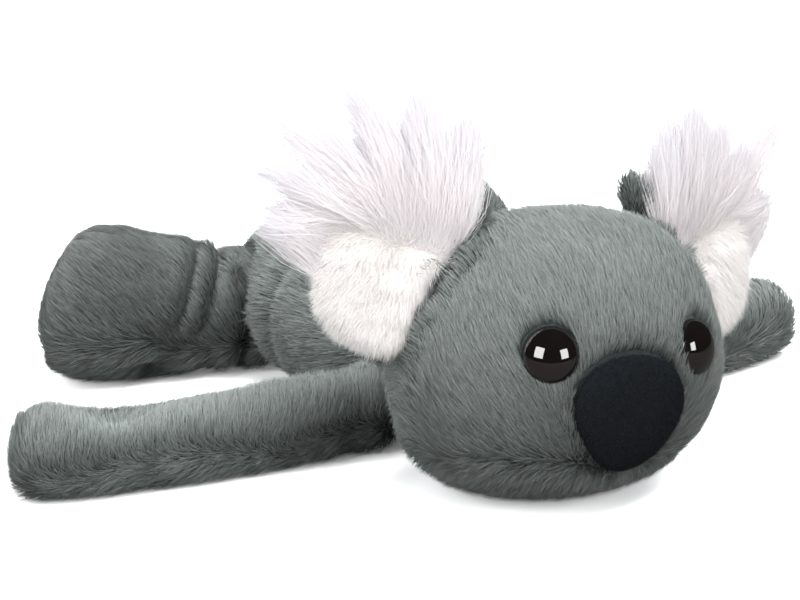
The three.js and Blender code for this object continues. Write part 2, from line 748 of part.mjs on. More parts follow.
// The skin and the wad of one limb, in the limb's own frame.
function limbPieces(kind, name, form, rootRadius, rootHeight) {
  const outerForm = stuffedForm(form);
  const innerForm = stuffedForm(form, hiddenShare);
  const origin = new THREE.Vector3(0, 0, 0);
  const ground = spaceAbove(-rootHeight);
  const inset = clothThickness + fillingGap;
  const mouthEnd = new THREE.Vector3(-rootRadius - overrun, 0, 0);
  const mouth = solidOf(bar(rootRadius / 2, origin, mouthEnd, rootSides));
  const skin = solidOf(outerForm).add(solidOf(ball(rootRadius, origin, rootSides))).intersect(ground)
    .subtract(solidOf(shrunk(innerForm, clothThickness))
      .add(solidOf(ball(rootRadius - clothThickness, origin, hiddenSides)))
      .intersect(spaceAbove(-rootHeight + clothThickness)))
    .subtract(mouth);
  const wad = solidOf(shrunk(innerForm, inset))
    .add(solidOf(ball(rootRadius - inset, origin, hiddenSides)))
    .intersect(spaceAbove(-rootHeight + inset));
  return [
    pieceOf(`${kind}_skin_${name}`, geometryOf(skin), colours.greyPlush),
    pieceOf(`${kind}_filling_${name}`, geometryOf(wad), colours.filling),
  ];
}

function limb(kind, name, sign, place, sweepDegrees, form, rootRadius) {
  const group = new THREE.Group();
  group.position.copy(place);
  group.rotation.z = sign > 0 ? radians(sweepDegrees) : Math.PI - radians(sweepDegrees);
  group.add(...limbPieces(kind, name, form, rootRadius, place.z));
  return group;
}

const koala = new THREE.Group();
koala.add(...torsoPieces());
koala.add(...headPieces());
for (const { name, sign, armSweep, legSweep } of sides) {
  const shoulder = shoulderAt(sign);
  const hip = hipAt(sign);
  koala.add(...earPieces(name));
  koala.add(limb('arm', name, sign, shoulder, armSweep, armForm(sign), armRootRadius));
  koala.add(limb('leg', name, sign, hip, legSweep, legForm(sign), legRootRadius));
}

export default koala;
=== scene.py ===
# %% [markdown]
# Plush koala, lying on its belly
#
# The toy is a set of stuffed plush bags sewn together. Each bag is made here twice: first as the
# dark knitted ground of the cloth, swelled like a stuffed bag, and then as the pile that stands on
# it, fibre by fibre. The long white hair of the ears is made the same way, only longer.
#
# Blender's own hair would be quicker to plant, but it is no mesh and can't be handed on as one. So
# each fibre is a thin tapered strip, and a whole pile is one mesh.

import math

import bmesh
import bpy
import numpy as np
from mathutils import Matrix, Vector
from mathutils.kdtree import KDTree


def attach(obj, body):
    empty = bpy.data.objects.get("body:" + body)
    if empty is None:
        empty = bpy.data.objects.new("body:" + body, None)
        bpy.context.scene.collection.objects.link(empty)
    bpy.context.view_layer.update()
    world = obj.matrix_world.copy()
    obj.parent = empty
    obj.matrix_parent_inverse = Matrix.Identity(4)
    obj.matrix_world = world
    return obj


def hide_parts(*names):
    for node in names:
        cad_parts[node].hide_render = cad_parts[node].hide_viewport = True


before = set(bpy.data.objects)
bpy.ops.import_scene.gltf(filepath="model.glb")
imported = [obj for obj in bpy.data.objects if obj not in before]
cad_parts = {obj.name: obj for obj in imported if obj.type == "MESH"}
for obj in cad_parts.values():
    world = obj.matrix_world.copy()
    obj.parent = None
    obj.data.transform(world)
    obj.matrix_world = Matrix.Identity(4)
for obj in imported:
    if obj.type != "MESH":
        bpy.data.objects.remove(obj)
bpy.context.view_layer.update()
MM = 0.001

# %% [markdown]
# Frames of the head and the ears
#
# The pile has to know where the head and the ears are, so their places are repeated here from the
# solid model, in millimetres. Each ear has a frame of its own: u runs up along the sewn edge, v out
# from the head, and w to the front. A point of the cloth is easier to name in that frame.

# %% Frames of the head and the ears
SIDES = {"right": -1, "left": 1}
HEAD_MIDDLE = np.array((5.0, -120.0, 43.43))
HEAD_ROLL = math.radians(5)
EAR_UP = np.array((0.523, 0.0, 0.853))
EAR_OUT = np.array((-0.785, 0.298, 0.481))
EAR_EDGE = np.array((-43.0, 12.0, 28.0))
EAR_SLIP = {"right": 0.0, "left": -5.0}
EAR_MIDDLE = np.array((-5.5, 13.0))
EAR_RADIUS = 28.0
EAR_DISH = 5.0


def ear_axes(name):
    """The ear's own frame: up along the sewn edge, out from the head, and to the front."""
    u = EAR_UP / np.linalg.norm(EAR_UP)
    v = EAR_OUT - u * (u @ EAR_OUT)
    v /= np.linalg.norm(v)
    axes = np.array((u, v, np.cross(u, v)))
    origin = EAR_EDGE + u * EAR_SLIP[name]
    if name == "left":
        axes = axes * (-1, 1, 1)
        origin = origin * (-1, 1, 1)
    c, s = math.cos(HEAD_ROLL), math.sin(HEAD_ROLL)
    lean = np.array(((c, 0, s), (0, 1, 0), (-s, 0, c)))
    return axes @ lean.T, lean @ origin + HEAD_MIDDLE


def ear_places(name, points):
    """Points of the ear's own frame, in millimetres of the row frame."""
    axes, origin = ear_axes(name)
    return np.asarray(points) @ axes + origin


def ear_local(name, points):
    """Points of the row frame in the ear's own frame, in millimetres."""
    axes, origin = ear_axes(name)
    return (points - origin) @ axes.T


def ear_dish(u, v):
    """How far the ear's hollow front stands forward at a place, least in its middle."""
    return EAR_DISH * ((u - EAR_MIDDLE[0]) ** 2 + (v - EAR_MIDDLE[1]) ** 2) / EAR_RADIUS**2


for side in SIDES:
    print(side, "ear is sewn on at", np.round(ear_axes(side)[1], 1))

# %% [markdown]
# Camera
#
# The camera stands where the photographer stood: low, in front of the toy's right side, far enough
# back that the head isn't blown up. The lens follows from the width of the toy in the picture.

# %% Camera
TURN = math.radians(-29)
TILT = math.radians(16.5)
DISTANCE = 1.05
AIM = Vector((0.0163, 0.006, 0.030))
SENSOR_WIDTH = 36
LENS = 126.27

back = Vector((math.sin(TURN) * math.cos(TILT), -math.cos(TURN) * math.cos(TILT), math.sin(TILT)))
bpy.ops.object.camera_add(location=AIM + back * DISTANCE)
camera = bpy.context.object
camera.name = "camera"
camera.rotation_mode = "QUATERNION"
camera.rotation_quaternion = (-back).to_track_quat("-Z", "Y")
camera.data.sensor_width = SENSOR_WIDTH
camera.data.lens = LENS
bpy.context.scene.camera = camera
bpy.context.scene.view_settings.view_transform = "Standard"
print("camera at", [round(v, 3) for v in camera.location])

# %% [markdown]
# Floor
#
# The floor is white paper that keeps the toy's shadow. A white floor would throw light up at the
# belly and the chin, which are dark on the real toy, so the paper is white to the camera alone.
# Further off it glows until it is plain white, and the edge of the paper is never seen.

# %% Floor
PAPER_SEEN = (2.4, 2.4, 2.42, 1)
PAPER_LIT = (0.2, 0.2, 0.2, 1)
PAPER_MIRRORED = (0.09, 0.08, 0.08, 1)
GLOW = (0.12, 1)
GLOW_REACH = (0.25, 0.7)


def links(tree):
    """A short way to join a socket of this tree to another."""
    return lambda a, b: tree.links.new(a, b)


def fresh(name):
    """A new material with an empty tree and its output node."""
    material = bpy.data.materials.new(name)
    material.use_nodes = True
    tree = material.node_tree
    tree.nodes.clear()
    return material, tree, tree.nodes.new("ShaderNodeOutputMaterial")


def floor_material():
    """White paper that glows a little to the camera, and more further off, until it is plain white."""
    material, tree, out = fresh("white_paper")
    join = links(tree)
    rays = tree.nodes.new("ShaderNodeLightPath")
    tone = tree.nodes.new("ShaderNodeMix")
    tone.data_type = "RGBA"
    join(rays.outputs["Is Camera Ray"], tone.inputs[0])
    tone.inputs[6].default_value = PAPER_LIT
    tone.inputs[7].default_value = PAPER_SEEN
    paper = tree.nodes.new("ShaderNodeBsdfDiffuse")
    mirrored = tree.nodes.new("ShaderNodeMix")
    mirrored.data_type = "RGBA"
    join(rays.outputs["Is Glossy Ray"], mirrored.inputs[0])
    join(tone.outputs[2], mirrored.inputs[6])
    mirrored.inputs[7].default_value = PAPER_MIRRORED
    join(mirrored.outputs[2], paper.inputs["Color"])
    spot = tree.nodes.new("ShaderNodeTexCoord")
    away = tree.nodes.new("ShaderNodeVectorMath")
    away.operation = "LENGTH"
    join(spot.outputs["Object"], away.inputs[0])
    level = tree.nodes.new("ShaderNodeMapRange")
    level.interpolation_type = "SMOOTHSTEP"
    level.inputs["From Min"].default_value = GLOW_REACH[0]
    level.inputs["From Max"].default_value = GLOW_REACH[1]
    level.inputs["To Min"].default_value = GLOW[0]
    level.inputs["To Max"].default_value = GLOW[1]
    join(away.outputs["Value"], level.inputs["Value"])
    seen = tree.nodes.new("ShaderNodeMath")
    seen.operation = "MULTIPLY"
    join(rays.outputs["Is Camera Ray"], seen.inputs[0])
    join(level.outputs[0], seen.inputs[1])
    glow = tree.nodes.new("ShaderNodeEmission")
    glow.inputs["Color"].default_value = (1, 1, 1, 1)
    join(seen.outputs[0], glow.inputs["Strength"])
    both = tree.nodes.new("ShaderNodeAddShader")
    join(paper.outputs[0], both.inputs[0])
    join(glow.outputs[0], both.inputs[1])
    join(both.outputs[0], out.inputs["Surface"])
    return material


bpy.ops.mesh.primitive_plane_add(size=8, location=(0, 0, -0.0004))
floor = bpy.context.object
floor.name = "floor"
floor.data.materials.append(floor_material())
print("floor", floor.name, [round(v, 2) for v in floor.dimensions])

# %% [markdown]
# Lights
#
# Two square softboxes stand to the left and right of the camera. Their places were read from the two
# square glints in the eye. A wide soft light hangs overhead and another stands behind the toy, for
# the views from the back. These two are kept out of reflections, so that the eye stays black.

# %% Lamps
LIT_PLACE = Vector((-0.02, -0.1, 0.05))


def softbox(name, way, distance, size, power, glossy=True):
    """A square lamp that shines at the toy from a distance in metres."""
    way = Vector(way).normalized()
    bpy.ops.object.light_add(type="AREA", location=LIT_PLACE + way * distance)
    lamp = bpy.context.object
    lamp.name = name
    lamp.data.shape = "RECTANGLE"
    lamp.data.size = size
    lamp.data.size_y = size
    lamp.data.energy = power
    lamp.rotation_mode = "QUATERNION"
    lamp.rotation_quaternion = way.to_track_quat("Z", "Y")
    lamp.visible_glossy = glossy


softbox("softbox_left", (-0.854, -0.344, 0.391), 1.3, 0.66, 9.5)
softbox("softbox_right", (0.165, -0.93, 0.33), 1.3, 0.56, 6.8)
softbox("overhead", (0.1, -0.3, 1), 1.5, 1.4, 40, glossy=False)
softbox("rear", (-0.2, 1, 0.5), 1.5, 1.2, 10, glossy=False)

# %% The room around
ROOM_LIGHT = 0.2
ROOM_MIRRORED = 0.02

world = bpy.data.worlds.new("studio")
bpy.context.scene.world = world
world.use_nodes = True
tree = world.node_tree
tree.nodes.clear()
join = links(tree)
rays = tree.nodes.new("ShaderNodeLightPath")
room = tree.nodes.new("ShaderNodeBackground")
room.inputs["Color"].default_value = (0.95, 0.97, 1, 1)
dim = tree.nodes.new("ShaderNodeMath")
dim.operation = "MULTIPLY_ADD"
dim.inputs[1].default_value = ROOM_MIRRORED - ROOM_LIGHT
dim.inputs[2].default_value = ROOM_LIGHT
join(rays.outputs["Is Glossy Ray"], dim.inputs[0])
join(dim.outputs[0], room.inputs["Strength"])
white = tree.nodes.new("ShaderNodeBackground")
white.inputs["Color"].default_value = (1, 1, 1, 1)
white.inputs["Strength"].default_value = 1
pick = tree.nodes.new("ShaderNodeMixShader")
join(rays.outputs["Is Camera Ray"], pick.inputs[0])
join(room.outputs[0], pick.inputs[1])
join(white.outputs[0], pick.inputs[2])
sky = tree.nodes.new("ShaderNodeOutputWorld")
join(pick.outputs[0], sky.inputs["Surface"])
print("world", world.name, "white to the camera,", ROOM_LIGHT, "to the toy")

# %% [markdown]
# Fibres
#
# A fibre is painted darker at its foot, as painted shade where light hardly reaches, and paler at its tip.
# Each fibre carries
# a small map: across it the tint, which was picked when the fibre was planted and on some piles holds the
# painted light and shade of its place, and along it the way from foot to tip. One node group turns the map
# into a colour, and all the piles share it. Some light passes through a fibre, most of all through a white
# one.


# %% Fibre colour, shared by all the piles
def fibre_colour_group():
    """Colour along a fibre, from a foot painted darker as painted shade to a paler tip, made darker or paler
    by the fibre's tint.
    """
    group = bpy.data.node_groups.new("fibre_colour", "ShaderNodeTree")
    face = group.interface
    face.new_socket("Map", in_out="INPUT", socket_type="NodeSocketVector")
    for name in ("Foot", "Middle", "Tip"):
        face.new_socket(name, in_out="INPUT", socket_type="NodeSocketColor")
    face.new_socket("Tint", in_out="INPUT", socket_type="NodeSocketFloat")
    face.new_socket("Color", in_out="OUTPUT", socket_type="NodeSocketColor")
    join = links(group)
    given = group.nodes.new("NodeGroupInput")
    result = group.nodes.new("NodeGroupOutput")
    parts = group.nodes.new("ShaderNodeSeparateXYZ")
    join(given.outputs["Map"], parts.inputs[0])

    def ramp(low, high):
        node = group.nodes.new("ShaderNodeMapRange")
        node.interpolation_type = "SMOOTHSTEP"
        node.inputs["From Min"].default_value = low
        node.inputs["From Max"].default_value = high
        join(parts.outputs["Y"], node.inputs["Value"])
        return node

    def mix(factor, a, b):
        node = group.nodes.new("ShaderNodeMix")
        node.data_type = "RGBA"
        join(factor, node.inputs[0])
        join(a, node.inputs[6])
        join(b, node.inputs[7])
        return node.outputs[2]

    lower = mix(ramp(0.0, 0.5).outputs[0], given.outputs["Foot"], given.outputs["Middle"])
    along = mix(ramp(0.45, 1.0).outputs[0], lower, given.outputs["Tip"])
    spread = group.nodes.new("ShaderNodeMath")
    spread.operation = "SUBTRACT"
    join(parts.outputs["X"], spread.inputs[0])
    spread.inputs[1].default_value = 0.5
    gain = group.nodes.new("ShaderNodeMath")
    gain.operation = "MULTIPLY_ADD"
    join(spread.outputs[0], gain.inputs[0])
    join(given.outputs["Tint"], gain.inputs[1])
    gain.inputs[2].default_value = 1
    scaled = group.nodes.new("ShaderNodeVectorMath")
    scaled.operation = "SCALE"
    join(along, scaled.inputs[0])
    join(gain.outputs[0], scaled.inputs["Scale"])
    join(scaled.outputs[0], result.inputs["Color"])
    return group


FIBRE_COLOUR = fibre_colour_group()
print("group", FIBRE_COLOUR.name, "with", len(FIBRE_COLOUR.nodes), "nodes")


# %% Materials of the fibres
def srgb(r, g, b):
    """A colour from 0 to 255, as seen, turned into what the nodes expect."""
    linear = [c / 255 / 12.92 if c <= 10 else ((c / 255 + 0.055) / 1.055) ** 2.4 for c in (r, g, b)]
    return (*linear, 1)


def fibre_material(name, foot, middle, tip, tint, roughness, gloss, sheer):
    """Pile of one colour. sheer is the share of light that passes through a fibre."""
    material, tree, out = fresh(name)
    join = links(tree)
    fibre_map = tree.nodes.new("ShaderNodeUVMap")
    fibre_map.uv_map = "OFBake"
    colour = tree.nodes.new("ShaderNodeGroup")
    colour.node_tree = FIBRE_COLOUR
    join(fibre_map.outputs[0], colour.inputs["Map"])
    colour.inputs["Foot"].default_value = foot
    colour.inputs["Middle"].default_value = middle
    colour.inputs["Tip"].default_value = tip
    colour.inputs["Tint"].default_value = tint
    fibre = tree.nodes.new("ShaderNodeBsdfPrincipled")
    join(colour.outputs["Color"], fibre.inputs["Base Color"])
    fibre.inputs["Roughness"].default_value = roughness
    fibre.inputs["Specular IOR Level"].default_value = gloss
    through = tree.nodes.new("ShaderNodeBsdfTranslucent")
    join(colour.outputs["Color"], through.inputs["Color"])
    blend = tree.nodes.new("ShaderNodeMixShader")
    blend.inputs[0].default_value = sheer
    join(fibre.outputs[0], blend.inputs[1])
    join(through.outputs[0], blend.inputs[2])
    join(blend.outputs[0], out.inputs["Surface"])
    return material


# The feet of the grey and the velour fibres are painted darker than their tips, as painted shade deep in the
# pile.
GREY_FIBRE = fibre_material(
    "grey_pile", srgb(84, 91, 91), srgb(126, 133, 131), srgb(160, 165, 162), 0.8, 0.7, 0.15, 0.08
)
WHITE_FIBRE = fibre_material(
    "white_pile", srgb(253, 251, 250), srgb(254, 252, 251), srgb(254, 253, 252), 0.03, 0.7, 0.2, 0.6
)
LONG_FIBRE = fibre_material(
    "long_white_pile", srgb(252, 249, 250), srgb(253, 250, 251), srgb(241, 240, 243), 0.05, 0.5, 0.3, 0.55
)
VELOUR_FIBRE = fibre_material(
    "velour_pile", srgb(18, 20, 23), srgb(26, 29, 32), srgb(33, 36, 40), 0.8, 0.8, 0.1, 0.0
)
print("fibres", [m.name for m in (GREY_FIBRE, WHITE_FIBRE, LONG_FIBRE, VELOUR_FIBRE)])

# %% [markdown]
# Knitted ground and moulded plastic
#
# Under the pile lies a knit of two close tones in small cells, with a soft bump. Moulded plastic has
# a faint swirl of two tones too, only much smoother. So the two tones are a second node group, which
# each of these materials places with its own colours and grain.


# %% Two tones, shared by the plain surfaces
def two_tones_group():
    """Noise between a dark and a pale tone. It also gives the noise, as a height for a bump."""
    group = bpy.data.node_groups.new("two_tones", "ShaderNodeTree")
    face = group.interface
    face.new_socket("Place", in_out="INPUT", socket_type="NodeSocketVector")
    face.new_socket("Dark", in_out="INPUT", socket_type="NodeSocketColor")
    face.new_socket("Pale", in_out="INPUT", socket_type="NodeSocketColor")
    face.new_socket("Scale", in_out="INPUT", socket_type="NodeSocketFloat")
    face.new_socket("Detail", in_out="INPUT", socket_type="NodeSocketFloat")
    face.new_socket("Color", in_out="OUTPUT", socket_type="NodeSocketColor")
    face.new_socket("Height", in_out="OUTPUT", socket_type="NodeSocketFloat")
    join = links(group)
    given = group.nodes.new("NodeGroupInput")
    result = group.nodes.new("NodeGroupOutput")
    cells = group.nodes.new("ShaderNodeTexNoise")
    join(given.outputs["Place"], cells.inputs["Vector"])
    join(given.outputs["Scale"], cells.inputs["Scale"])
    join(given.outputs["Detail"], cells.inputs["Detail"])
    tone = group.nodes.new("ShaderNodeMix")
    tone.data_type = "RGBA"
    join(cells.outputs["Fac"], tone.inputs[0])
    join(given.outputs["Dark"], tone.inputs[6])
    join(given.outputs["Pale"], tone.inputs[7])
    join(tone.outputs[2], result.inputs["Color"])
    join(cells.outputs["Fac"], result.inputs["Height"])
    return group


TWO_TONES = two_tones_group()


def two_tones(tree, dark, pale, scale, detail):
    """The group placed in a material, on the piece's own coordinates."""
    join = links(tree)
    spot = tree.nodes.new("ShaderNodeTexCoord")
    tones = tree.nodes.new("ShaderNodeGroup")
    tones.node_tree = TWO_TONES
    join(spot.outputs["Object"], tones.inputs["Place"])
    tones.inputs["Dark"].default_value = dark
    tones.inputs["Pale"].default_value = pale
    tones.inputs["Scale"].default_value = scale
    tones.inputs["Detail"].default_value = detail
    return tones


print("group", TWO_TONES.name, "with", len(TWO_TONES.nodes), "nodes")


# %% Grounds of the cloth
def ground_material(name, dark, pale, grain):
    """The knitted ground under the pile, with a soft bump."""
    material, tree, out = fresh(name)
    join = links(tree)
    tones = two_tones(tree, dark, pale, grain, 4)
    bump = tree.nodes.new("ShaderNodeBump")
    bump.inputs["Strength"].default_value = 0.6
    bump.inputs["Distance"].default_value = 0.0006
    join(tones.outputs["Height"], bump.inputs["Height"])
    cloth = tree.nodes.new("ShaderNodeBsdfPrincipled")
    join(tones.outputs["Color"], cloth.inputs["Base Color"])
    join(bump.outputs[0], cloth.inputs["Normal"])
    cloth.inputs["Roughness"].default_value = 0.95
    cloth.inputs["Specular IOR Level"].default_value = 0.1
    join(cloth.outputs[0], out.inputs["Surface"])
    return material


GREY_GROUND = ground_material("grey_ground", srgb(58, 65, 66), srgb(80, 87, 87), 900)
WHITE_GROUND = ground_material("white_ground", srgb(251, 248, 247), srgb(253, 251, 250), 900)
VELOUR_GROUND = ground_material("velour_ground", srgb(17, 19, 22), srgb(30, 34, 38), 1600)
print("grounds", [m.name for m in (GREY_GROUND, WHITE_GROUND, VELOUR_GROUND)])


# %% Moulded plastic
def plastic_material(name, dark, pale, scale, roughness, ior):
    """Moulded plastic with a faint swirl."""
    material, tree, out = fresh(name)
    join = links(tree)
    tones = two_tones(tree, dark, pale, scale, 2)
    body = tree.nodes.new("ShaderNodeBsdfPrincipled")
    join(tones.outputs["Color"], body.inputs["Base Color"])
    body.inputs["Roughness"].default_value = roughness
    body.inputs["IOR"].default_value = ior
    join(body.outputs[0], out.inputs["Surface"])
    return material


EYE_BLACK = plastic_material("eye_black", srgb(9, 7, 7), srgb(19, 14, 13), 260, 0.03, 2)
WASHER = plastic_material(
    "washer_plastic_pale", srgb(205, 200, 188), srgb(228, 224, 214), 400, 0.45, 1.5
)
print("plastics", [m.name for m in (EYE_BLACK, WASHER)])

# %% [markdown]
# Stuffed bags
#
# The bag of each body is its skin and filling from the solid model, joined and melted into one skin.
# It is made a little smaller, so that it stays below the tips of its pile, which stand for the
# outside that the solid model has. A stuffed bag could be sculpted, but cloth with air in it fills
# out between its seams by itself, so it is simulated, and held to within a few millimetres.


# %% Reading and writing meshes
def smooth(low, high, x):
    """0 below low, 1 above high, and a soft step between them."""
    t = np.clip((x - low) / (high - low), 0, 1)
    return t * t * (3 - 2 * t)


def only(*objects):
    """Nothing selected but these, the first of them active."""
    bpy.ops.object.select_all(action="DESELECT")
    for o in objects:
        o.select_set(True)
    bpy.context.view_layer.objects.active = objects[0]


def positions(mesh):
    """The places of all points of a mesh, in metres."""
    co = np.empty(len(mesh.vertices) * 3)
    mesh.vertices.foreach_get("co", co)
    return co.reshape(-1, 3)


def normals(mesh):
    """The outward ways of all points of a mesh."""
    out = np.empty(len(mesh.vertices) * 3)
    mesh.vertex_normals.foreach_get("vector", out)
    return out.reshape(-1, 3)


def place(mesh, co):
    """Puts all points of a mesh in new places, in metres."""
    mesh.vertices.foreach_set("co", np.ascontiguousarray(co, np.float32).ravel())
    mesh.update()


# %% From CAD nodes to one skin
def copies(name, nodes):
    """The CAD nodes' meshes copied and joined into one new object."""
    made = []
    for node in nodes:
        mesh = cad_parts[node].data.copy()
        mesh.materials.clear()
        piece = bpy.data.objects.new(name, mesh)
        bpy.context.scene.collection.objects.link(piece)
        made.append(piece)
    only(*made)
    if len(made) > 1:
        bpy.ops.object.join()
    piece = bpy.context.object
    bpy.ops.object.mode_set(mode="EDIT")
    bpy.ops.mesh.select_all(action="SELECT")
    bpy.ops.mesh.remove_doubles(threshold=0.00002)
    bpy.ops.object.mode_set(mode="OBJECT")
    return piece


def largest_shell(piece):
    """Drops every loose shell but the one with the widest box."""
    bm = bmesh.new()
    bm.from_mesh(piece.data)
    left = set(bm.verts)
    shells = []
    while left:
        seed = left.pop()
        shell, edge = {seed}, [seed]
        while edge:
            v = edge.pop()
            for e in v.link_edges:
                w = e.other_vert(v)
                if w in left:
                    left.discard(w)
                    shell.add(w)
                    edge.append(w)
        shells.append(shell)
    shells.sort(key=lambda shell: np.prod(np.ptp(np.array([v.co for v in shell]), axis=0)))
    bmesh.ops.delete(bm, geom=[v for shell in shells[:-1] for v in shell], context="VERTS")
    bm.to_mesh(piece.data)
    bm.free()
    return len(shells)


def apply_modifier(piece, kind, **settings):
    """Adds a modifier with its settings and applies it."""
    only(piece)
    modifier = piece.modifiers.new(kind.lower(), kind)
    for key, value in settings.items():
        setattr(modifier, key, value)
    bpy.ops.object.modifier_apply(modifier=modifier.name)


# %% Swelling
def swell(piece, cap):
    """Blows the piece up as cloth with air in it, and keeps each point within cap of where it was."""
    before = positions(piece.data).copy()
    only(piece)
    cloth = piece.modifiers.new("cloth", "CLOTH")
    cloth.settings.use_pressure = True
    cloth.settings.uniform_pressure_force = 4
    cloth.settings.mass = 0.3
    cloth.settings.tension_stiffness = 25
    cloth.settings.compression_stiffness = 25
    cloth.settings.bending_stiffness = 2
    cloth.settings.effector_weights.gravity = 0
    scene = bpy.context.scene
    for step in range(1, 21):
        scene.frame_set(step)
    bpy.ops.object.modifier_apply(modifier=cloth.name)
    scene.frame_set(1)
    moved = positions(piece.data) - before
    length = np.linalg.norm(moved, axis=1, keepdims=True)
    place(piece.data, before + moved * np.minimum(1, cap * MM / np.maximum(length, 1e-9)))


FLOOR_GAP = 0.6


def rest(piece):
    """Nothing below the floor."""
    co = positions(piece.data)
    co[:, 2] = np.maximum(co[:, 2], FLOOR_GAP * MM)
    place(piece.data, co)


# %% Bags of the torso, head, arms and legs
UNDER_DEPTH = 0.9


def stuffed(name, nodes, voxel, depth, cap):
    """One stuffed bag from the CAD nodes of a body, less deep under the pile where it rests."""
    piece = copies(name, nodes)
    apply_modifier(piece, "REMESH", mode="VOXEL", voxel_size=voxel * MM)
    shells = largest_shell(piece)
    apply_modifier(piece, "SMOOTH", factor=0.5, iterations=4)
    out = normals(piece.data)
    under = smooth(0.3, 0.8, -out[:, 2])
    shrink = depth - (depth - UNDER_DEPTH) * under
    place(piece.data, positions(piece.data) - out * shrink[:, None] * MM)
    swell(piece, cap)
    apply_modifier(piece, "SMOOTH", factor=0.4, iterations=2)
    apply_modifier(piece, "SUBSURF", levels=1)
    rest(piece)
    piece.data.materials.append(GREY_GROUND)
    piece.data.shade_smooth()
    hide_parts(*nodes)
    print(name, shells, "shells,", len(piece.data.polygons), "faces")
    return piece


bags = {}
bags["torso"] = stuffed("torso_bag", ("torso_skin", "torso_filling", "pellet_pouch"), 4, 2.9, 1.2)
bags["head"] = stuffed("head_bag", ("head_skin", "head_filling"), 3.5, 2.6, 1.2)
for side in SIDES:
    for limb in ("arm", "leg"):
        nodes = (f"{limb}_skin_{side}", f"{limb}_filling_{side}")
        bags[f"{limb}_{side}"] = stuffed(f"{limb}_bag_{side}", nodes, 3, 2.8, 1.0)


# %% [markdown]
# Folds and dents
#
# Where a limb is pushed up against the body the cloth folds. Each fold is a valley with a small
# ridge on each side, pressed into the bag along its own normals. Smaller dents and swellings, which
# no two real toys share, are pressed in one by one where the photograph has them.


# %% Ways to push the cloth about
def fold(piece, at, across, depth, width, reach, ridge=0.35):
    """A valley through a point, square to a direction, fading out past its reach. In millimetres."""
    co, out = positions(piece.data) / MM, normals(piece.data)
    across = np.array(across, float)
    across /= np.linalg.norm(across)
    off = co - np.array(at, float)
    side = off @ across
    away = np.linalg.norm(off - side[:, None] * across, axis=1)
    shape = np.exp(-((side / width) ** 2)) - ridge * np.exp(-(((np.abs(side) - 1.9 * width) / width) ** 2))
    push = depth * shape * (1 - smooth(0.6 * reach, reach, away))
    place(piece.data, (co - out * push[:, None]) * MM)


def press(piece, at, push, radius):
    """Moves the cloth round a point by a vector, fading out to the radius. In millimetres."""
    co = positions(piece.data) / MM
    away = np.linalg.norm(co - np.array(at, float), axis=1)
    share = 1 - smooth(0, radius, away)
    place(piece.data, (co + share[:, None] * np.array(push, float)) * MM)


def trim(piece, at, way, soft):
    """Draws back what stands out past a plane, with a rounded corner. In millimetres."""
    co = positions(piece.data) / MM
    way = np.array(way, float) / np.linalg.norm(way)
    past = (co - np.array(at, float)) @ way
    over = soft * np.logaddexp(0, past / soft)
    place(piece.data, (co - 0.9 * over[:, None] * way) * MM)


# %% Folds and dents of the legs
SLANT = (0.9, -0.25, -0.34)
leg = bags["leg_right"]
# Fuller at the hip, cut off flat at the end of the foot, full on top and hollow underneath.
press(leg, (-46, 44, 46), (0, 0, 4.5), 22)
trim(leg, (-92.6, 66.6, 47.2), (-0.66, 0.5, 0.56), 4)
press(leg, (-78, 62, 57), (0, 0, 2.2), 34)
press(leg, (-104, 45, 26), (-3.2, 0, 0), 26)
press(leg, (-68, 36, 3), (0, 4, 5), 12)
# Two creases beside the hip, and the deep one where the leg is sewn on.
fold(leg, (-45, 33, 38), SLANT, 2.6, 2.8, 24, 0.5)
fold(leg, (-53.5, 35, 38), SLANT, 1.8, 2.6, 22, 0.45)
fold(leg, (-34, 29, 24), (1, 0.1, 0), 5.5, 3.8, 36, 0)
fold(bags["leg_left"], (58, 40, 52), (-0.93, 0.2, -0.3), 4.0, 3.2, 40)
print("near leg", [round(v * 1000, 1) for v in leg.dimensions])

# %% Dents of the arms and the torso
arm = bags["arm_right"]
# Pinched at the wrist, with a paw that swells again and ends blunt.
press(arm, (-128, -57, 30), (0, 0, -5.5), 14)
press(arm, (-150, -54, 33), (0, 0, 3), 18)
press(arm, (-85, -55, 30), (0, 0, -0.7), 50)
press(arm, (-158, -52, 12), (-1.5, 0, 0), 18)
# The far paw reaches a little further, and the torso has one shallow fold behind the ear.
press(bags["arm_left"], (150, -44, 16), (3.5, 1.5, -0.8), 40)
fold(bags["torso"], (-38, 5.5, 40), (0, 1, 0), 2.0, 4, 34, 0.15)
print("near arm", [round(v * 1000, 1) for v in arm.dimensions])

# %% Form of the head
CHIN_TUCK = 10


def lean_head(piece):
    """The cloth of the head leans the way the face does, and is tucked back under the chin."""
    co = positions(piece.data) / MM
    off = co - HEAD_MIDDLE
    co[:, 0] += math.tan(HEAD_ROLL) * off[:, 2] * smooth(15, 40, np.abs(off[:, 0]))
    under = 1 - smooth(2, 28, co[:, 2])
    front = 1 - smooth(-135, -105, co[:, 1])
    co[:, 1] += CHIN_TUCK * (under * front)
    place(piece.data, co * MM)


head = bags["head"]
# A fuller crown, wider on the far side, and a fuller face between the nose and the far eye.
press(head, (28, -118, 90), (1, 0, 2.5), 32)
press(head, (42, -126, 74), (2.2, -0.5, 1), 30)
press(head, (-12, -112, 92), (0, 0, 2.2), 26)
press(head, (28, -162, 56.7), (3.4, -1.9, 0), 12)
lean_head(head)
for bag in bags.values():
    rest(bag)
print("head", [round(v * 1000, 1) for v in head.dimensions])


# %% [markdown]
# Fibres as ribbons
#
# Each fibre is a strip of a few triangles that ends in a point. Its feet are spread evenly over the
# cloth. The lean of a fibre follows slow random fields, so that neighbours lean alike, as on brushed
# plush, and no two places have the same nap.


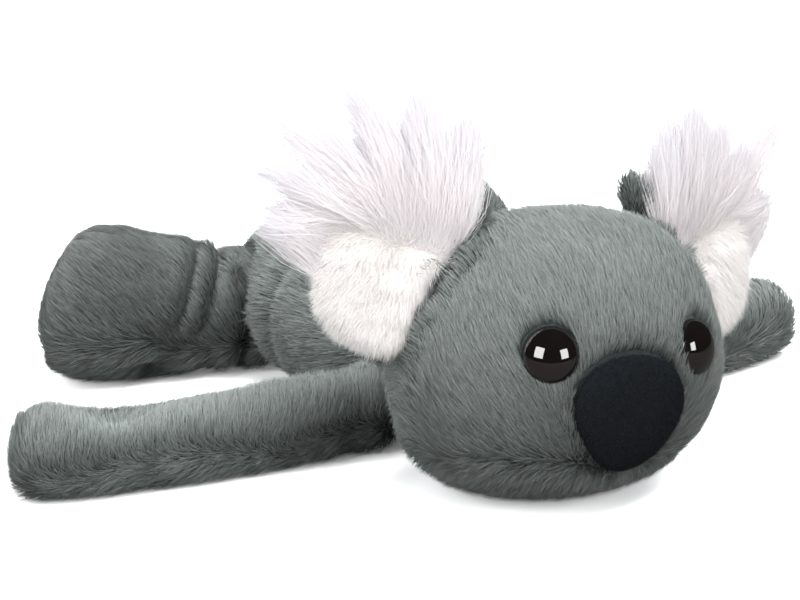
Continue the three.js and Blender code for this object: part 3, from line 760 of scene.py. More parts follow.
# %% Random fields
def noise(points, size, seed):
    """Smooth random values from -1 to 1 that change over a distance, at points in millimetres."""
    q = points / size + seed * 17.31
    cell = np.floor(q)
    f = q - cell
    f = f * f * (3 - 2 * f)
    total = np.zeros(len(points))
    for dx in (0, 1):
        for dy in (0, 1):
            for dz in (0, 1):
                c = cell + (dx, dy, dz)
                h = np.sin(c @ (127.1, 311.7, 74.7) + seed) * 43758.5453
                w = np.abs(1 - dx - f[:, 0]) * np.abs(1 - dy - f[:, 1]) * np.abs(1 - dz - f[:, 2])
                total += w * ((h - np.floor(h)) * 2 - 1)
    return total


def unit(v):
    """Vectors made one long."""
    return v / np.maximum(np.linalg.norm(v, axis=-1, keepdims=True), 1e-9)


# %% Ribbons
# The tint lies in one of 48 columns of the map, so that both edges of a fibre read the same one.
TINT_COLUMNS = 48
LOWEST_FIBRE = 0.15


def ribbons(name, path, across, tint, material):
    """Thin tapered strips. path is (fibre, knot, xyz) and across their half width, in millimetres."""
    count, knots = path.shape[:2]
    left, right = path - across, path + across
    co = np.empty((count, 2 * knots - 1, 3), np.float32)
    co[:, 0:-1:2] = left[:, :-1]
    co[:, 1:-1:2] = right[:, :-1]
    co[:, -1] = path[:, -1]
    co[..., 2] = np.maximum(co[..., 2], LOWEST_FIBRE)
    corners = []
    for k in range(knots - 2):
        a = 2 * k
        corners += [(a, a + 1, a + 3), (a, a + 3, a + 2)]
    corners.append((2 * knots - 4, 2 * knots - 3, 2 * knots - 2))
    corners = np.array(corners)
    faces = (np.arange(count)[:, None, None] * (2 * knots - 1) + corners).reshape(-1)
    mesh = bpy.data.meshes.new(name)
    mesh.vertices.add(co.shape[0] * co.shape[1])
    mesh.vertices.foreach_set("co", (co * MM).ravel())
    mesh.loops.add(len(faces))
    mesh.loops.foreach_set("vertex_index", faces.astype(np.int32))
    mesh.polygons.add(len(faces) // 3)
    mesh.polygons.foreach_set("loop_start", np.arange(0, len(faces), 3, dtype=np.int32))
    column = np.floor(np.clip(tint, 0, 0.9999) * TINT_COLUMNS)
    u = np.empty((count, 2 * knots - 1))
    u[:, 0:-1:2] = ((column + 0.1) / TINT_COLUMNS)[:, None]
    u[:, 1:-1:2] = ((column + 0.9) / TINT_COLUMNS)[:, None]
    u[:, -1] = (column + 0.5) / TINT_COLUMNS
    v = np.empty((count, 2 * knots - 1))
    along = np.linspace(0.01, 0.99, knots)
    v[:, 0:-1:2] = along[:-1]
    v[:, 1:-1:2] = along[:-1]
    v[:, -1] = along[-1]
    uv = np.stack((u, v), -1).reshape(-1, 2)[faces]
    layer = mesh.uv_layers.new(name="OFBake")
    layer.data.foreach_set("uv", uv.astype(np.float32).ravel())
    mesh.update(calc_edges=True)
    mesh.shade_smooth()
    mesh.materials.append(material)
    piece = bpy.data.objects.new(name, mesh)
    bpy.context.scene.collection.objects.link(piece)
    return piece


# %% Feet of the fibres
def everywhere(points, normal):
    """Keeps every foot."""
    return np.ones(len(points))


def feet(piece, per_square, keep, rng):
    """Random points on a mesh with their normals, in millimetres. keep thins them out by place."""
    mesh = piece.data
    mesh.calc_loop_triangles()
    corner = np.empty(len(mesh.loop_triangles) * 3, np.int32)
    mesh.loop_triangles.foreach_get("vertices", corner)
    corner = corner.reshape(-1, 3)
    co, out = positions(mesh) / MM, normals(mesh)
    a, b, c = (co[corner[:, i]] for i in range(3))
    area = np.linalg.norm(np.cross(b - a, c - a), axis=1) / 2
    total = int(area.sum() * per_square)
    pick = np.searchsorted(np.cumsum(area) / area.sum(), rng.random(total))
    pick = np.minimum(pick, len(area) - 1)
    r, s = np.sqrt(rng.random(total)), rng.random(total)
    share = np.stack((1 - r, r * (1 - s), r * s), 1)[..., None]
    points = (co[corner[pick]] * share).sum(1)
    normal = unit((out[corner[pick]] * share).sum(1))
    wanted = rng.random(total) < keep(points, normal)
    return points[wanted], normal[wanted]


# %% [markdown]
# What the fibres keep clear of
#
# The eyes and the nose are sewn in among the pile. A fibre that would lie over one of them is cut
# short, so the outline of both has to be known before the pile is planted. The eyes are turned
# pieces, whose axis follows from their points. The nose is a flat pad, whose outline is the hull of
# its points seen from the front, so the pad itself is made here already.

# %% Places of the eyes
EYE_RADIUS = 9.2
EYE_DROP = 0.9


def turned_in_face(points):
    """Points in a frame that leans with the face, from the middle of the head."""
    c, s = math.cos(-HEAD_ROLL), math.sin(-HEAD_ROLL)
    q = points - HEAD_MIDDLE
    return np.stack((c * q[:, 0] + s * q[:, 2], q[:, 1], -s * q[:, 0] + c * q[:, 2]), 1)


def axis_of(node):
    """The foremost point and the axis of a turned CAD node, in millimetres."""
    co = np.unique(np.round(positions(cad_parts[node].data) / MM, 4), axis=0)
    middle = co.mean(0)
    values, ways = np.linalg.eigh(np.cov((co - middle).T))
    apart = [abs(values[1] - values[2]), abs(values[0] - values[2]), abs(values[0] - values[1])]
    way = ways[:, int(np.argmin(apart))]
    way = way if way[1] < 0 else -way
    return middle + way * ((co - middle) @ way).max(), way


EYES = {}
for side in SIDES:
    apex, way = axis_of(f"eye_{side}")
    EYES[side] = (apex - (0, 0, EYE_DROP), way)
print("eyes", {side: [round(float(v), 1) for v in EYES[side][0]] for side in SIDES})


def inside_eye(points):
    """How far points lie inside the rim of either eye, seen along that eye; negative outside it."""
    best = np.full(len(points), -99.0)
    for apex, way in EYES.values():
        off = points - apex
        along = off @ way
        radius = np.linalg.norm(off - along[:, None] * way, axis=1)
        depth = np.where(np.abs(along) < 16, EYE_RADIUS - radius, -99)
        best = np.maximum(best, depth)
    return best


# %% Outline of the nose
def hull_of(points):
    """The convex outline of flat points, anticlockwise."""
    order = sorted(map(tuple, points))

    def half(row):
        line = []
        for p in row:
            while len(line) > 1 and np.cross(np.subtract(line[-1], line[-2]), np.subtract(p, line[-1])) <= 0:
                line.pop()
            line.append(p)
        return line[:-1]

    return np.array(half(order) + half(order[::-1]))


nose = copies("nose_pad", ("nose",))
apply_modifier(nose, "SUBSURF", levels=2)
press(nose, (-14, -167, 46), (-2, 0.5, 0), 16)
nose_flat = turned_in_face(positions(nose.data) / MM)[:, (0, 2)]
NOSE_LINE = hull_of(np.round(nose_flat, 1))
print("outline of the nose has", len(NOSE_LINE), "points")


def inside_nose(points):
    """How far points lie inside the outline of the nose, seen from the front; negative outside it."""
    face = turned_in_face(points)
    flat = face[:, (0, 2)]
    edge = np.roll(NOSE_LINE, -1, axis=0) - NOSE_LINE
    inward = unit(np.stack((-edge[:, 1], edge[:, 0]), 1))
    depth = ((flat[:, None] - NOSE_LINE[None]) * inward[None]).sum(-1).min(1)
    return np.where(face[:, 1] < -30, depth, -99)


# %% Cloth round the eyes, the nose and the ears
SEAM_PLACES = (-20, -11, -2, 6, 10, 16)


def clear_face(points):
    """How far points lie inside an eye or the nose; negative outside them."""
    return np.maximum(inside_nose(points), inside_eye(points))


def seat(piece, amount, reach):
    """Lifts the cloth round the eyes and the nose, which the thread has pulled in among the pile."""
    co, out = positions(piece.data) / MM, normals(piece.data)
    inside = clear_face(co)
    push = amount * (1 - smooth(0, reach, -inside)) * (inside < 1)
    place(piece.data, (co + out * push[:, None]) * MM)


def snug(piece, nodes, amount, reach):
    """Lifts the cloth where other pieces are sewn to it, so that no gap shows between them."""
    tree = KDTree(sum(len(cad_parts[node].data.vertices) for node in nodes))
    count = 0
    for node in nodes:
        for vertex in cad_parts[node].data.vertices:
            tree.insert(vertex.co, count)
            count += 1
    tree.balance()
    co, out = positions(piece.data), normals(piece.data)
    away = np.array([tree.find(Vector(c))[2] for c in co]) / MM
    place(piece.data, co + out * (amount * (1 - smooth(0, reach, away)))[:, None] * MM)


seat(head, 0.8, 13)
for side in SIDES:
    for along in SEAM_PLACES:
        out_and_front = np.array((0, 3.2 + 1.3 * (along > 4), 3.6))
        press(head, ear_places(side, (along, -2, 3)), out_and_front @ ear_axes(side)[0], 13)
    snug(head, (f"ear_back_{side}", f"ear_front_{side}", f"ear_tuft_{side}"), 1.8, 11)
print("cloth lifted round the face and along", 2 * len(SEAM_PLACES), "places of the ear seams")

# %% [markdown]
# Planting a pile
#
# A fibre leaves the cloth steeply and bends over the way the cloth was brushed, so it is planted in
# two steps, the first one steeper. Length, lean, thickness and tint all vary a little by the fibre
# and slowly over the cloth.

# %% Planting a pile
BENDS = ((0.5, 1.4), (0.5, 0.6))
FIBRE_TAPER = np.array((1.0, 0.85, 0.0))
CUT_SHARES = (1.0, 0.85, 0.7, 0.55, 0.4, 0.28)
STEEPEST = 66


def pile(name, piece, seed, per_square, length, width, lie, comb, keep=everywhere,
         material=GREY_FIBRE, rough=1.0, shade=None, clear=None, part=None, stand=None):
    """Plants a pile on a bag. comb gives the way it is brushed, lie its angle to the cloth in degrees."""
    rng = np.random.default_rng(seed)
    points, out = feet(piece, per_square, keep, rng)
    if part is not None:
        chosen = part(points)
        points, out = points[chosen], out[chosen]
    if clear is not None:
        outside = clear(points) < -0.2
        points, out = points[outside], out[outside]
    count = len(points)
    way = comb(points, out)
    slow = np.stack([noise(points, 15, seed + k) for k in range(3)], 1)
    quick = np.stack([noise(points, 2.4, seed + 5 + k) for k in range(3)], 1)
    way = way + rough * (0.15 * slow + 0.08 * quick + 0.13 * rng.normal(size=(count, 3)))
    way = unit(way - out * (way * out).sum(1, keepdims=True))
    size = length * (1 + 0.16 * rng.normal(size=count).clip(-2, 2) + 0.06 * noise(points, 5, seed + 9))
    lean = lie * (1 + 0.22 * rng.normal(size=count).clip(-2, 2) + 0.12 * noise(points, 2.6, seed + 11))
    if stand is not None:
        lean = np.minimum(lean + stand(points), STEEPEST)
    angle = np.radians(lean)
    path = np.empty((count, len(BENDS) + 1, 3))
    path[:, 0] = points - out * 0.3
    for k, (share, steep) in enumerate(BENDS):
        a = (angle * steep)[:, None]
        path[:, k + 1] = path[:, k] + (way * np.cos(a) + out * np.sin(a)) * (size * share)[:, None]
    if clear is not None:
        path = cut_short(path, clear)
    roll = rng.normal(size=count)[:, None] * 0.5
    side = unit(np.cross(way, out)) * np.cos(roll) + out * np.sin(roll)
    thick = 0.8 + 0.4 * rng.random(count)
    across = side[:, None] * (FIBRE_TAPER * width / 2)[None, :, None] * thick[:, None, None]
    tint = 0.5 + 0.13 * rng.normal(size=count) + 0.09 * noise(points, 1.3, seed + 21)
    tint += 0.09 * noise(points, 9, seed + 23)
    # Painted light and shade of the place, where a pile has them, are added to the tint.
    if shade is not None:
        tint = tint + shade(points)
    print(name, count, "fibres")
    return ribbons(name, path, across, tint, material)


def cut_short(path, clear):
    """Fibres whose tip would lie over what has to stay clear are cut back to where they don't."""
    scale = np.ones(len(path))
    for share in CUT_SHARES:
        tip = path[:, 0] + (path[:, -1] - path[:, 0]) * share
        scale = np.where((scale >= share) & (clear(tip) > 0.5), share * 0.82, scale)
    return path[:, :1] + (path - path[:, :1]) * scale[:, None, None]


def grow(body, name, *args, **kwargs):
    """Plants a grey pile that moves with a body."""
    made = pile(name, *args, **kwargs)
    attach(made, body)


def thin_below(points, normal):
    """Fewer fibres underneath, where the toy rests."""
    return 1 - 0.55 * smooth(0.55, 0.85, -normal[:, 2]) * (points[:, 2] < 6)


# %% [markdown]
# Pile of the head
#
# On the face the pile runs up and back from the nose. Under the chin lies a gusset, whose pile is
# pressed upright and painted darker, as painted shade, and its seam rises to the right cheek. Round the eyes
# and the nose the fibres stand up a little. The face is what the eye goes to, so it gets more and finer
# fibres than the back of the head.


# %% Brushing of the head
def above_chin_seam(points):
    """How high a point stands over the seam of the gusset under the chin, which rises to the right cheek."""
    seam = np.interp(points[:, 0], (-45, -35, -5, 12), (21, 27, 21.5, 19))
    return points[:, 2] - seam + 2 * noise(points, 5, 3)


def under_chin(points):
    """1 on the gusset under the chin, which is painted darker as shade, 0 above its seam."""
    return 1 - smooth(-4, 3, above_chin_seam(points))


def comb_head(points, normal):
    """Up and back from the nose on the face, down on the gusset under the chin."""
    face = turned_in_face(points)
    sideways = np.clip(face[:, 0] / 40, -1, 1)
    front = 1 - smooth(-15, 20, face[:, 1])
    way = np.empty_like(points)
    way[:, 0] = 0.30 * sideways
    way[:, 1] = 0.55
    way[:, 2] = -0.5 + 1.5 * front
    low = 1 - smooth(-5, 4, above_chin_seam(points))
    return way * (1 - low)[:, None] + low[:, None] * np.array((-0.25, 0.5, -0.6))


def round_face(points, reach):
    """1 at the rim of an eye or of the nose, falling to 0 at a distance."""
    return 1 - smooth(0.2 * reach, reach, -clear_face(points))


def chin_painted_shade(points):
    """Painted shade: the gusset under the chin is darker, with a random mottle."""
    return (0.25 * noise(points, 1.6, 8) - 0.38) * under_chin(points)


def upright(points):
    """By how many degrees fibres stand up more than the rest."""
    return 34 * under_chin(points) + 9 * round_face(points, 6)


# %% Pile of the head
FACE_BACK = -126
FACE_PARTING = 4


def face_right(points):
    """The half of the face on the toy's right."""
    return (points[:, 1] < FACE_BACK) & (points[:, 0] < FACE_PARTING)


def face_left(points):
    """The half of the face on the toy's left."""
    return (points[:, 1] < FACE_BACK) & (points[:, 0] >= FACE_PARTING)


def nape(points):
    """The head behind the face."""
    return points[:, 1] >= FACE_BACK


HEAD_PILES = (
    ("right", face_right, 11, 9.0, 0.19),
    ("left", face_left, 10, 9.0, 0.19),
    ("back", nape, 12, 2.8, 0.32),
)
for name, part, seed, dense, width in HEAD_PILES:
    grow("head", f"head_pile_{name}", head, seed, dense, 6.2, width, 19, comb_head,
         keep=thin_below, clear=clear_face, part=part, shade=chin_painted_shade, stand=upright)

# %% [markdown]
# Pile of the torso and the limbs
#
# On the torso the pile runs back, painted a little paler all over as painted light. On a limb it parts at the
# seam low on the side: above the seam it points up, and below it points down and out to the paw. The top of
# an arm is painted paler, as painted light, and the fold at its wrist and the foot of a leg darker, as
# painted shade.
# The near limbs get more and finer fibres than the far ones.


# %% Brushing of the torso and the limbs
def comb_torso(points, normal):
    """Brushed back and a little down."""
    way = np.zeros_like(points) + (0, 1.0, 0)
    way[:, 2] = -0.15
    return way


def comb_arm(sign):
    """Up above the seam; below it out to the paw, in a changing way."""

    def comb(points, normal):
        seam = 12 + 3.5 * noise(points, 18, 7)
        upper = smooth(seam - 8, seam + 8, points[:, 2])[:, None]
        sway = 0.55 * noise(points, 9, 31) - 0.05
        lower_way = np.stack((np.full(len(points), 0.9 * sign), 0 * seam, sway), 1)
        return upper * np.array((-0.20 * sign, 0.25, 1.0)) + (1 - upper) * lower_way

    return comb


def comb_leg(sign):
    """Up and out above the seam, down and out below it. The seam rises on the foot."""

    def comb(points, normal):
        seam = 14 + 5.5 * smooth(62, 74, sign * points[:, 0]) + 1.2 * noise(points, 16, 9)
        spread = 3 + 6 * smooth(70, 88, sign * points[:, 0])
        upper = smooth(seam - spread, seam + spread, points[:, 2])[:, None]
        return upper * np.array((0.62 * sign, 0.1, 0.8)) + (1 - upper) * np.array((0.85 * sign, 0, -0.5))

    return comb


def arm_painted_light_and_mottle(points):
    """Painted light paler on top, painted shade in the fold at the wrist, and a random mottle low on the
    side.
    """
    wrist = np.linalg.norm(points - (-124, -58, 28), axis=1)
    mottle = 0.16 * noise(points, 6, 33) * (1 - smooth(12, 24, points[:, 2]))
    return 0.5 * smooth(8, 22, points[:, 2]) + mottle - 0.4 * np.exp(-((wrist / 8) ** 2))


def leg_painted_shade(points):
    """Painted shade: darker on the foot than on the thigh."""
    return 0.25 * (1 - smooth(50, 66, np.abs(points[:, 0]))) - 0.2


def torso_painted_light(points):
    """Painted light: a little paler all over."""
    return np.full(len(points), 0.08)


# %% Pile of the torso and the limbs
ARM_PILES = {"right": (6.0, 0.2), "left": (3.2, 0.29)}
LEG_PILES = {"right": (4.8, 0.22), "left": (2.4, 0.31)}


def front_half(points):
    """The torso in front of its middle."""
    return points[:, 1] < 0


def back_half(points):
    """The torso behind its middle."""
    return points[:, 1] >= 0


for name, part, seed in (("front", front_half, 13), ("back", back_half, 14)):
    grow("torso", f"torso_pile_{name}", bags["torso"], seed, 2.6, 6.5, 0.29, 17, comb_torso,
         keep=thin_below, part=part, rough=0.6, shade=torso_painted_light)
for side, sign in SIDES.items():
    dense, width = ARM_PILES[side]
    grow(f"arm_{side}", f"arm_pile_{side}", bags[f"arm_{side}"], 20 + sign, dense, 6.5, width, 24,
         comb_arm(sign), keep=thin_below, shade=arm_painted_light_and_mottle, rough=1.2)
    dense, width = LEG_PILES[side]
    grow(f"leg_{side}", f"leg_pile_{side}", bags[f"leg_{side}"], 30 + sign, dense, 6.5, width, 17,
         comb_leg(sign), keep=thin_below, shade=leg_painted_shade, rough=0.6)

# %% Rides of the bags
for body, bag in bags.items():
    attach(bag, body)
print("bags", list(bags))


# %% [markdown]
# Grey back of the ear
#
# Each ear is three pieces of plush: a grey back that curls over the top rim, a lobe of short dense
# white pile, and above it a panel of long white hair. The back is melted from its solid like the
# bags, and its pile is brushed out from the sewn edge.


# %% Grey back of the ear
def ear_pad(name, node, voxel, shrink, material):
    """One pad of cloth, melted from its CAD node and drawn in under its pile."""
    piece = copies(name, (node,))
    apply_modifier(piece, "REMESH", mode="VOXEL", voxel_size=voxel * MM)
    largest_shell(piece)
    apply_modifier(piece, "SMOOTH", factor=0.5, iterations=5)
    place(piece.data, positions(piece.data) - normals(piece.data) * shrink * MM)
    apply_modifier(piece, "SUBSURF", levels=1)
    piece.data.materials.append(material)
    piece.data.shade_smooth()
    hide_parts(node)
    return piece


def comb_from_middle(name, lift):
    """Brushed out from the sewn edge of the ear."""

    def comb(points, normal):
        axes, origin = ear_axes(name)
        local = (points - origin) @ axes.T
        way = np.stack((local[:, 0] * 0.5 - 6, local[:, 1] + 4, np.full(len(points), lift)), 1)
        return unit(way) @ axes

    return comb


for side, sign in SIDES.items():
    body = f"ear_{side}"
    back_pad = ear_pad(f"ear_back_pad_{side}", f"ear_back_{side}", 1.6, 1.6, GREY_GROUND)
    if side == "left":
        press(back_pad, (43, -111, 93), (-3.2, 1.8, 0), 15)
    grow(body, f"ear_back_pile_{side}", back_pad, 40 + sign, 3.6, 5, 0.26, 24,
         comb_from_middle(side, 0.2))
    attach(back_pad, body)


# %% [markdown]
# White cushion of the ear
#
# The lobe and the panel of long hair are sewn to one another along a curved border. As two pads they
# would leave a dark line there, so they are melted into one soft cushion. The solid locks of the
# panel are left out of it, because the hair itself is made below.

# %% Border between the short and the long white pile
EAR_BORDER_TILT = math.radians(31)
BORDER_ALONG = (-27, -13, 2, 12, 19, 23, 28)
BORDER_OUT = (3, 6.4, 11.5, 15, 15, 7, -8)


def past_border(local):
    """How far past the curved border between the short and the long white pile, in millimetres."""
    flat = local[:, :2] - EAR_MIDDLE
    along = flat @ (-math.sin(EAR_BORDER_TILT), math.cos(EAR_BORDER_TILT))
    out = flat @ (math.cos(EAR_BORDER_TILT), math.sin(EAR_BORDER_TILT))
    return out - np.interp(along, BORDER_ALONG, BORDER_OUT)


# %% White cushion of the ear
CUSHION_EDGE = 1.5


def ear_cushion(name, side):
    """The white cushion of the ear: the lobe and the pad that the long hair stands in, the locks left out."""
    lobe = copies(name, (f"ear_front_{side}",))
    apply_modifier(lobe, "REMESH", mode="VOXEL", voxel_size=1.4 * MM)
    piece = copies(name, (f"ear_tuft_{side}",))
    apply_modifier(piece, "REMESH", mode="VOXEL", voxel_size=1.4 * MM)
    local = ear_local(side, positions(piece.data) / MM)
    flat = local[:, :2] - EAR_MIDDLE
    distance = np.linalg.norm(flat, axis=1)
    limit = EAR_RADIUS - CUSHION_EDGE
    local[:, :2] = EAR_MIDDLE + flat * np.minimum(1, limit / np.maximum(distance, 1e-6))[:, None]
    dome = 2 + 6.5 * np.sqrt(np.clip(1 - (np.minimum(distance, limit) / EAR_RADIUS) ** 2, 0, 1))
    local[:, 2] = np.minimum(local[:, 2], ear_dish(local[:, 0], local[:, 1]) + dome)
    place(piece.data, ear_places(side, local) * MM)
    only(lobe, piece)
    bpy.ops.object.join()
    piece = bpy.context.object
    apply_modifier(piece, "REMESH", mode="VOXEL", voxel_size=1.3 * MM)
    largest_shell(piece)
    apply_modifier(piece, "SMOOTH", factor=0.5, iterations=9)
    place(piece.data, positions(piece.data) - normals(piece.data) * 0.6 * MM)
    piece.data.materials.append(WHITE_GROUND)
    piece.data.shade_smooth()
    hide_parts(f"ear_front_{side}", f"ear_tuft_{side}")
    return piece


def stretch_lobe(lobe, side):
    """The lobe hangs a little lower and wider at its outer lower corner."""
    local = ear_local(side, positions(lobe.data) / MM)
    flat = local[:, :2] - EAR_MIDDLE
    bearing = np.degrees(np.arctan2(flat[:, 1], flat[:, 0]))
    share = smooth(112, 150, bearing) * (1 - smooth(165, 180, bearing))
    local[:, :2] = EAR_MIDDLE + flat * (1 + 0.04 * share[:, None])
    place(lobe.data, ear_places(side, local) * MM)


LOBE_DENT = (-3.0, 15.0, 9.0)
cushions = {}
for side in SIDES:
    cushions[side] = ear_cushion(f"ear_cushion_{side}", side)
    stretch_lobe(cushions[side], side)
    press(cushions[side], ear_places(side, LOBE_DENT), -3 * ear_axes(side)[0][2], 8)
    print("cushion", side, [round(v * 1000, 1) for v in cushions[side].dimensions])


# %% [markdown]
# Short pile of the lobe
#
# The white pile fans away from a crown near the top of the lobe, and is brushed up where it meets
# the long hair. Along the sewn edge the grey pile of the head lies over the lobe, so a few grey
# fibres are planted there instead.

# %% Brushing of the lobe
LOBE_CROWN = (24.0, 20.0)
SEAM_ALONG = (-22, -8, 5)
SEAM_INSIDE = {"right": (-2.5, 2, 5), "left": (4, 8, 9)}


def comb_lobe(side):
    """The short white pile is brushed down and outwards, so it fluffs out past the edge of the lobe."""

    def comb(points, normal):
        axes, origin = ear_axes(side)
        local = (points - origin) @ axes.T
        off = local[:, :2] - LOBE_CROWN
        down = np.stack((off[:, 0], 0.9 * off[:, 1], np.zeros(len(points))), 1)
        top = smooth(-6, 2, past_border(local))[:, None]
        return ((1 - top) * unit(down) + top * np.array((0.8, 0.5, 0.0))) @ axes

    return comb


def by_seam(side, points):
    """Where the pile of the head lies over the sewn edge of the lobe."""
    local = ear_local(side, points)
    edge = np.interp(local[:, 0], SEAM_ALONG, SEAM_INSIDE[side]) + 0.8 * noise(points, 3, 5)
    return (edge > local[:, 1]) & (local[:, 0] < SEAM_ALONG[-1])


def short_part(side):
    """Chooses the feet of the short white pile on an ear."""
    return lambda points: (past_border(ear_local(side, points)) < 2) & ~by_seam(side, points)


def seam_part(side):
    """Chooses the feet of the grey fibres that lie over the sewn edge of an ear."""
    return lambda points: by_seam(side, points) & (past_border(ear_local(side, points)) < 0)


def seam_painted_light(points):
    """Painted light: paler, to make up for the shade in the cleft between the ear and the head."""
    return np.full(len(points), 0.25)


# %% [markdown]
# Long hair of the ear
#
# The long pile stands in locks, whose hairs meet near one tip, and the tips of the locks give the
# fan its ragged outline. So the tips are set lock by lock, as a bearing and a reach from the middle
# of the ear, and each hair is a curve from its foot on the cushion to the tip of its lock. More than
# half of the hairs are shorter and fill the body of the fan.

# %% Locks of the long hair
LOCK_TIPS = {
    "right": (
        (-10, 38), (-4, 47), (3, 58), (10, 62), (19, 56), (28, 63), (38, 56), (49, 66),
        (60, 55), (72, 65), (80, 54), (87, 64), (95, 51), (101, 49), (104, 49),
    ),
    "left": (
        (2, 46), (8, 52), (16, 54), (24, 57), (31, 60), (41, 55), (53, 57), (66, 54),
        (79, 79), (90, 50), (98, 44),
    ),
}
HAIR_BEARINGS = (-13, 107)
BODY_SHARE = 0.6
BODY_REACH = 43
EARLY_SHARE = 0.3


def hair_feet(count, rng):
    """Places of the feet past the border, and which are early: shorter hairs that start before it."""
    spread = EAR_RADIUS - CUSHION_EDGE
    spot = rng.uniform(-1, 1, (count * 6, 2)) * spread
    spot = spot[np.linalg.norm(spot, axis=1) < spread] + EAR_MIDDLE
    early = rng.random(len(spot)) < EARLY_SHARE
    off_head = spot[:, 1] > 0.42 * (spot[:, 0] - 12.5) - 2.3
    kept = (past_border(spot) > np.where(early, -1.5, 0)) & off_head
    return spot[kept][:count], early[kept][:count]


def hair_locks(side, spot, rng):
    """The lock of each hair, the bearing and reach of its tip, and how loose it hangs."""
    count = len(spot)
    tips = np.array(LOCK_TIPS[side], float)
    along = (spot - EAR_MIDDLE) @ (-math.sin(EAR_BORDER_TILT), math.cos(EAR_BORDER_TILT))
    share = np.clip(along / (EAR_RADIUS * 1.9) + 0.5 + 0.05 * rng.normal(size=count), 0, 1)
    order = share * (len(tips) - 1) + 0.5 * rng.normal(size=count)
    lock = np.clip(np.round(order), 0, len(tips) - 1).astype(int)
    loose = rng.random(count) ** 2.2
    stray = (1.5 + 5 * loose) * rng.normal(size=count).clip(-2, 2)
    bearing = np.radians(np.clip(tips[lock, 0] + stray, *HAIR_BEARINGS))
    in_body = rng.random(count) < BODY_SHARE
    body_reach = np.minimum(BODY_REACH, tips[lock, 1]) + 3.5 * rng.normal(size=count).clip(-2, 2)
    full_reach = tips[lock, 1] * (1.05 - 0.2 * rng.random(count))
    return lock, bearing, np.where(in_body, body_reach, full_reach), loose


# %% Curves of the long hair
HAIR_KNOTS = 5


def hair_curves(spot, lock, bearing, reach, loose, seed, rng):
    """The knots of each hair in the ear's own frame: up from the cushion, over, and out to the tip."""
    count = len(spot)
    flat = spot - EAR_MIDDLE
    dome = 7 * np.sqrt(np.clip(1 - (flat**2).sum(1) / EAR_RADIUS**2, 0, 1))
    height = ear_dish(spot[:, 0], spot[:, 1]) + 2 + dome
    inner = smooth(-1, 6, 3 - spot[:, 1])
    start = np.column_stack((spot[:, 0], np.maximum(spot[:, 1], 0), height - 3 * inner))
    tip = np.column_stack((
        EAR_MIDDLE[0] + reach * np.cos(bearing),
        EAR_MIDDLE[1] + reach * np.sin(bearing),
        4 + 3 * np.sin(lock * 2.4 + seed) + 3.5 * rng.normal(size=count) * (0.4 + loose),
    ))
    span = np.linalg.norm(tip - start, axis=1, keepdims=True)
    bend = start + (tip - start) * 0.45
    hem = 1 - smooth(0, 12, past_border(spot))
    bend[:, 2] += 0.12 * span[:, 0] + 3 * hem + 5 * inner + 1.2 * rng.normal(size=count)
    bend[:, 1] -= 1.5 * inner
    sway = np.column_stack((-np.sin(bearing), np.cos(bearing), np.zeros(count)))
    arc = 0.08 * np.sin(lock * 3.1 + seed) - 0.1 * (1 - smooth(60, 90, np.degrees(bearing)))
    bend += sway * (arc + 0.05 * rng.normal(size=count))[:, None] * span
    t = np.linspace(0, 1, HAIR_KNOTS)[None, :, None]
    path = (1 - t) ** 2 * start[:, None] + 2 * t * (1 - t) * bend[:, None] + t**2 * tip[:, None]
    wave = np.sin(t[..., 0] * 7 + lock[:, None] * 1.7) * t[..., 0] * 0.9
    return path + sway[:, None] * wave[..., None]


# %% Long hair as ribbons
HAIR_WIDTH = 0.16
HAIR_TAPER = np.array((1, 1, 1, 0.85, 0))
HAIR_COUNT = {"right": 26000, "left": 20000}


def long_hair(name, side, seed):
    """The fan of long white hair of one ear, its ribbons laid flat to the front."""
    rng = np.random.default_rng(seed)
    count = HAIR_COUNT[side]
    spot, early = hair_feet(count, rng)
    count = len(spot)
    lock, bearing, reach, loose = hair_locks(side, spot, rng)
    path = hair_curves(spot, lock, bearing, reach, loose, seed, rng)
    cut = np.where(early, rng.uniform(0.3, 0.65, count), 1)[:, None, None]
    path = path[:, :1] + (path - path[:, :1]) * cut
    axes, origin = ear_axes(side)
    world = path @ axes + origin
    way = unit(world[:, -1] - world[:, 0])
    roll = rng.normal(size=count)[:, None] * 0.2
    face = axes[2][None]
    flatwise = unit(np.cross(way, face)) * np.cos(roll) + face * np.sin(roll)
    across = flatwise[:, None] * (HAIR_TAPER * HAIR_WIDTH / 2)[None, :, None]
    tint = 0.5 + 0.16 * rng.normal(size=count)
    print(name, count, "hairs")
    return ribbons(name, world, across, tint, LONG_FIBRE)


# %% White pile and hair of both ears
for side, sign in SIDES.items():
    cushion = cushions[side]
    lobe_pile = pile(f"ear_lobe_pile_{side}", cushion, 50 + sign, 14, 5.8, 0.18, 30, comb_lobe(side),
                     material=WHITE_FIBRE, rough=1.2, part=short_part(side))
    seam_pile = pile(f"ear_seam_pile_{side}", cushion, 52 + sign, 6, 6, 0.22, 24, comb_head,
                     part=seam_part(side), shade=seam_painted_light)
    hair = long_hair(f"ear_hair_{side}", side, 60 + sign)
    for piece in (cushion, lobe_pile, seam_pile, hair):
        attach(piece, f"ear_{side}")


# %% [markdown]
# Eyes
#
# The eye is a moulded dome on a barbed shank, which a washer holds behind the cloth. It is a turned
# piece, so half its outline is spun round its axis, and it is sunk a little into the cloth, as the
# thread and the washer pull it in.

# %% Outline of the eye
EYE_DOME = 6.2
EYE_RIM = 1.2
EYE_BACK = 2.0
EYE_SINK = 1.0
SHANK_RADIUS = 2.4
SHANK_LENGTH = 17.0
BARB_RADIUS = 3.0
BARB_PITCH = 1.8
BARBS = 5
DOME_STEPS = 16


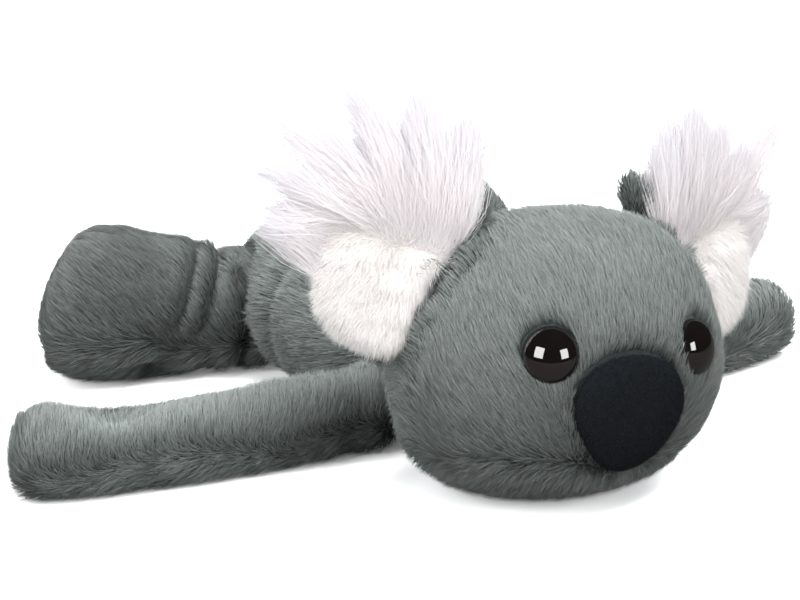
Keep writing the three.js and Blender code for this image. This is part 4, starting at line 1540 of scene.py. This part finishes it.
def eye_profile():
    """Half the outline of the eye, as radius and height in millimetres, from the shank's end up."""
    root = SHANK_RADIUS - SHANK_LENGTH
    profile = [(0.0, -SHANK_LENGTH), (SHANK_RADIUS, root)]
    for k in range(BARBS):
        low = root + (k + 0.5) * BARB_PITCH
        high = low + BARB_PITCH / 2
        profile += [(SHANK_RADIUS, low), (BARB_RADIUS, high), (SHANK_RADIUS, high)]
    profile += [(SHANK_RADIUS, -EYE_BACK), (EYE_RADIUS - 0.8, -EYE_BACK)]
    profile += [(EYE_RADIUS - 0.3, 0.15 - EYE_BACK), (EYE_RADIUS, -0.2 - EYE_RIM), (EYE_RADIUS, -EYE_RIM)]
    for k in range(1, DOME_STEPS):
        a = math.pi / 2 * k / DOME_STEPS
        profile.append((EYE_RADIUS * math.cos(a), EYE_DOME * math.sin(a) - EYE_RIM))
    profile.append((0.0, EYE_DOME - EYE_RIM))
    return profile


print("outline of the eye has", len(eye_profile()), "points")


# %% Eyes
def eye_piece(name, side):
    """One eye, spun from its outline and turned to look out of the face."""
    mesh = bpy.data.meshes.new(name)
    points = [(r * MM, 0, z * MM) for r, z in eye_profile()]
    mesh.from_pydata(points, [(i, i + 1) for i in range(len(points) - 1)], [])
    piece = bpy.data.objects.new(name, mesh)
    bpy.context.scene.collection.objects.link(piece)
    only(piece)
    bpy.ops.object.mode_set(mode="EDIT")
    bpy.ops.mesh.select_all(action="SELECT")
    bpy.ops.mesh.spin(steps=64, angle=2 * math.pi, center=(0, 0, 0), axis=(0, 0, 1))
    bpy.ops.mesh.select_all(action="SELECT")
    bpy.ops.mesh.remove_doubles(threshold=0.00001)
    bpy.ops.mesh.normals_make_consistent(inside=False)
    bpy.ops.object.mode_set(mode="OBJECT")
    bpy.ops.object.shade_smooth_by_angle(angle=math.radians(35))
    apex, way = EYES[side]
    turn = Vector(way).to_track_quat("Z", "Y").to_matrix().to_4x4()
    base = Vector(apex) - Vector(way) * (EYE_DOME - EYE_RIM + EYE_SINK)
    piece.data.transform(Matrix.Translation(base * MM) @ turn)
    piece.data.materials.append(EYE_BLACK)
    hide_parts(f"eye_{side}")
    return piece


for side in SIDES:
    eye = eye_piece(f"eye_ball_{side}", side)
    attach(eye, "head")
    print(eye.name, len(eye.data.polygons), "faces")


# %% [markdown]
# Nose
#
# The nose is a domed pad of black velour, made before the pile of the head was planted. Its own
# short pile softens its edge and takes the shine off it.


# %% Nose
def comb_nose(points, normal):
    """Brushed down and a little back."""
    return np.zeros_like(points) + (0, 0.2, -0.6)


nose.data.materials.append(VELOUR_GROUND)
nose.data.shade_smooth()
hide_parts("nose")
nose_pile = pile("nose_pile", nose, 70, 5, 1.1, 0.22, 45, comb_nose, material=VELOUR_FIBRE, rough=2.2)
for piece in (nose, nose_pile):
    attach(piece, "head")


# %% [markdown]
# Parts that stay as the solid model has them
#
# The toothed washers sit inside the head. They keep their shape and get a pale moulded plastic.

# %% Washers
for side in SIDES:
    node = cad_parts[f"eye_washer_{side}"]
    for slot in node.material_slots:
        slot.material = WASHER
    print(node.name, "in", WASHER.name)
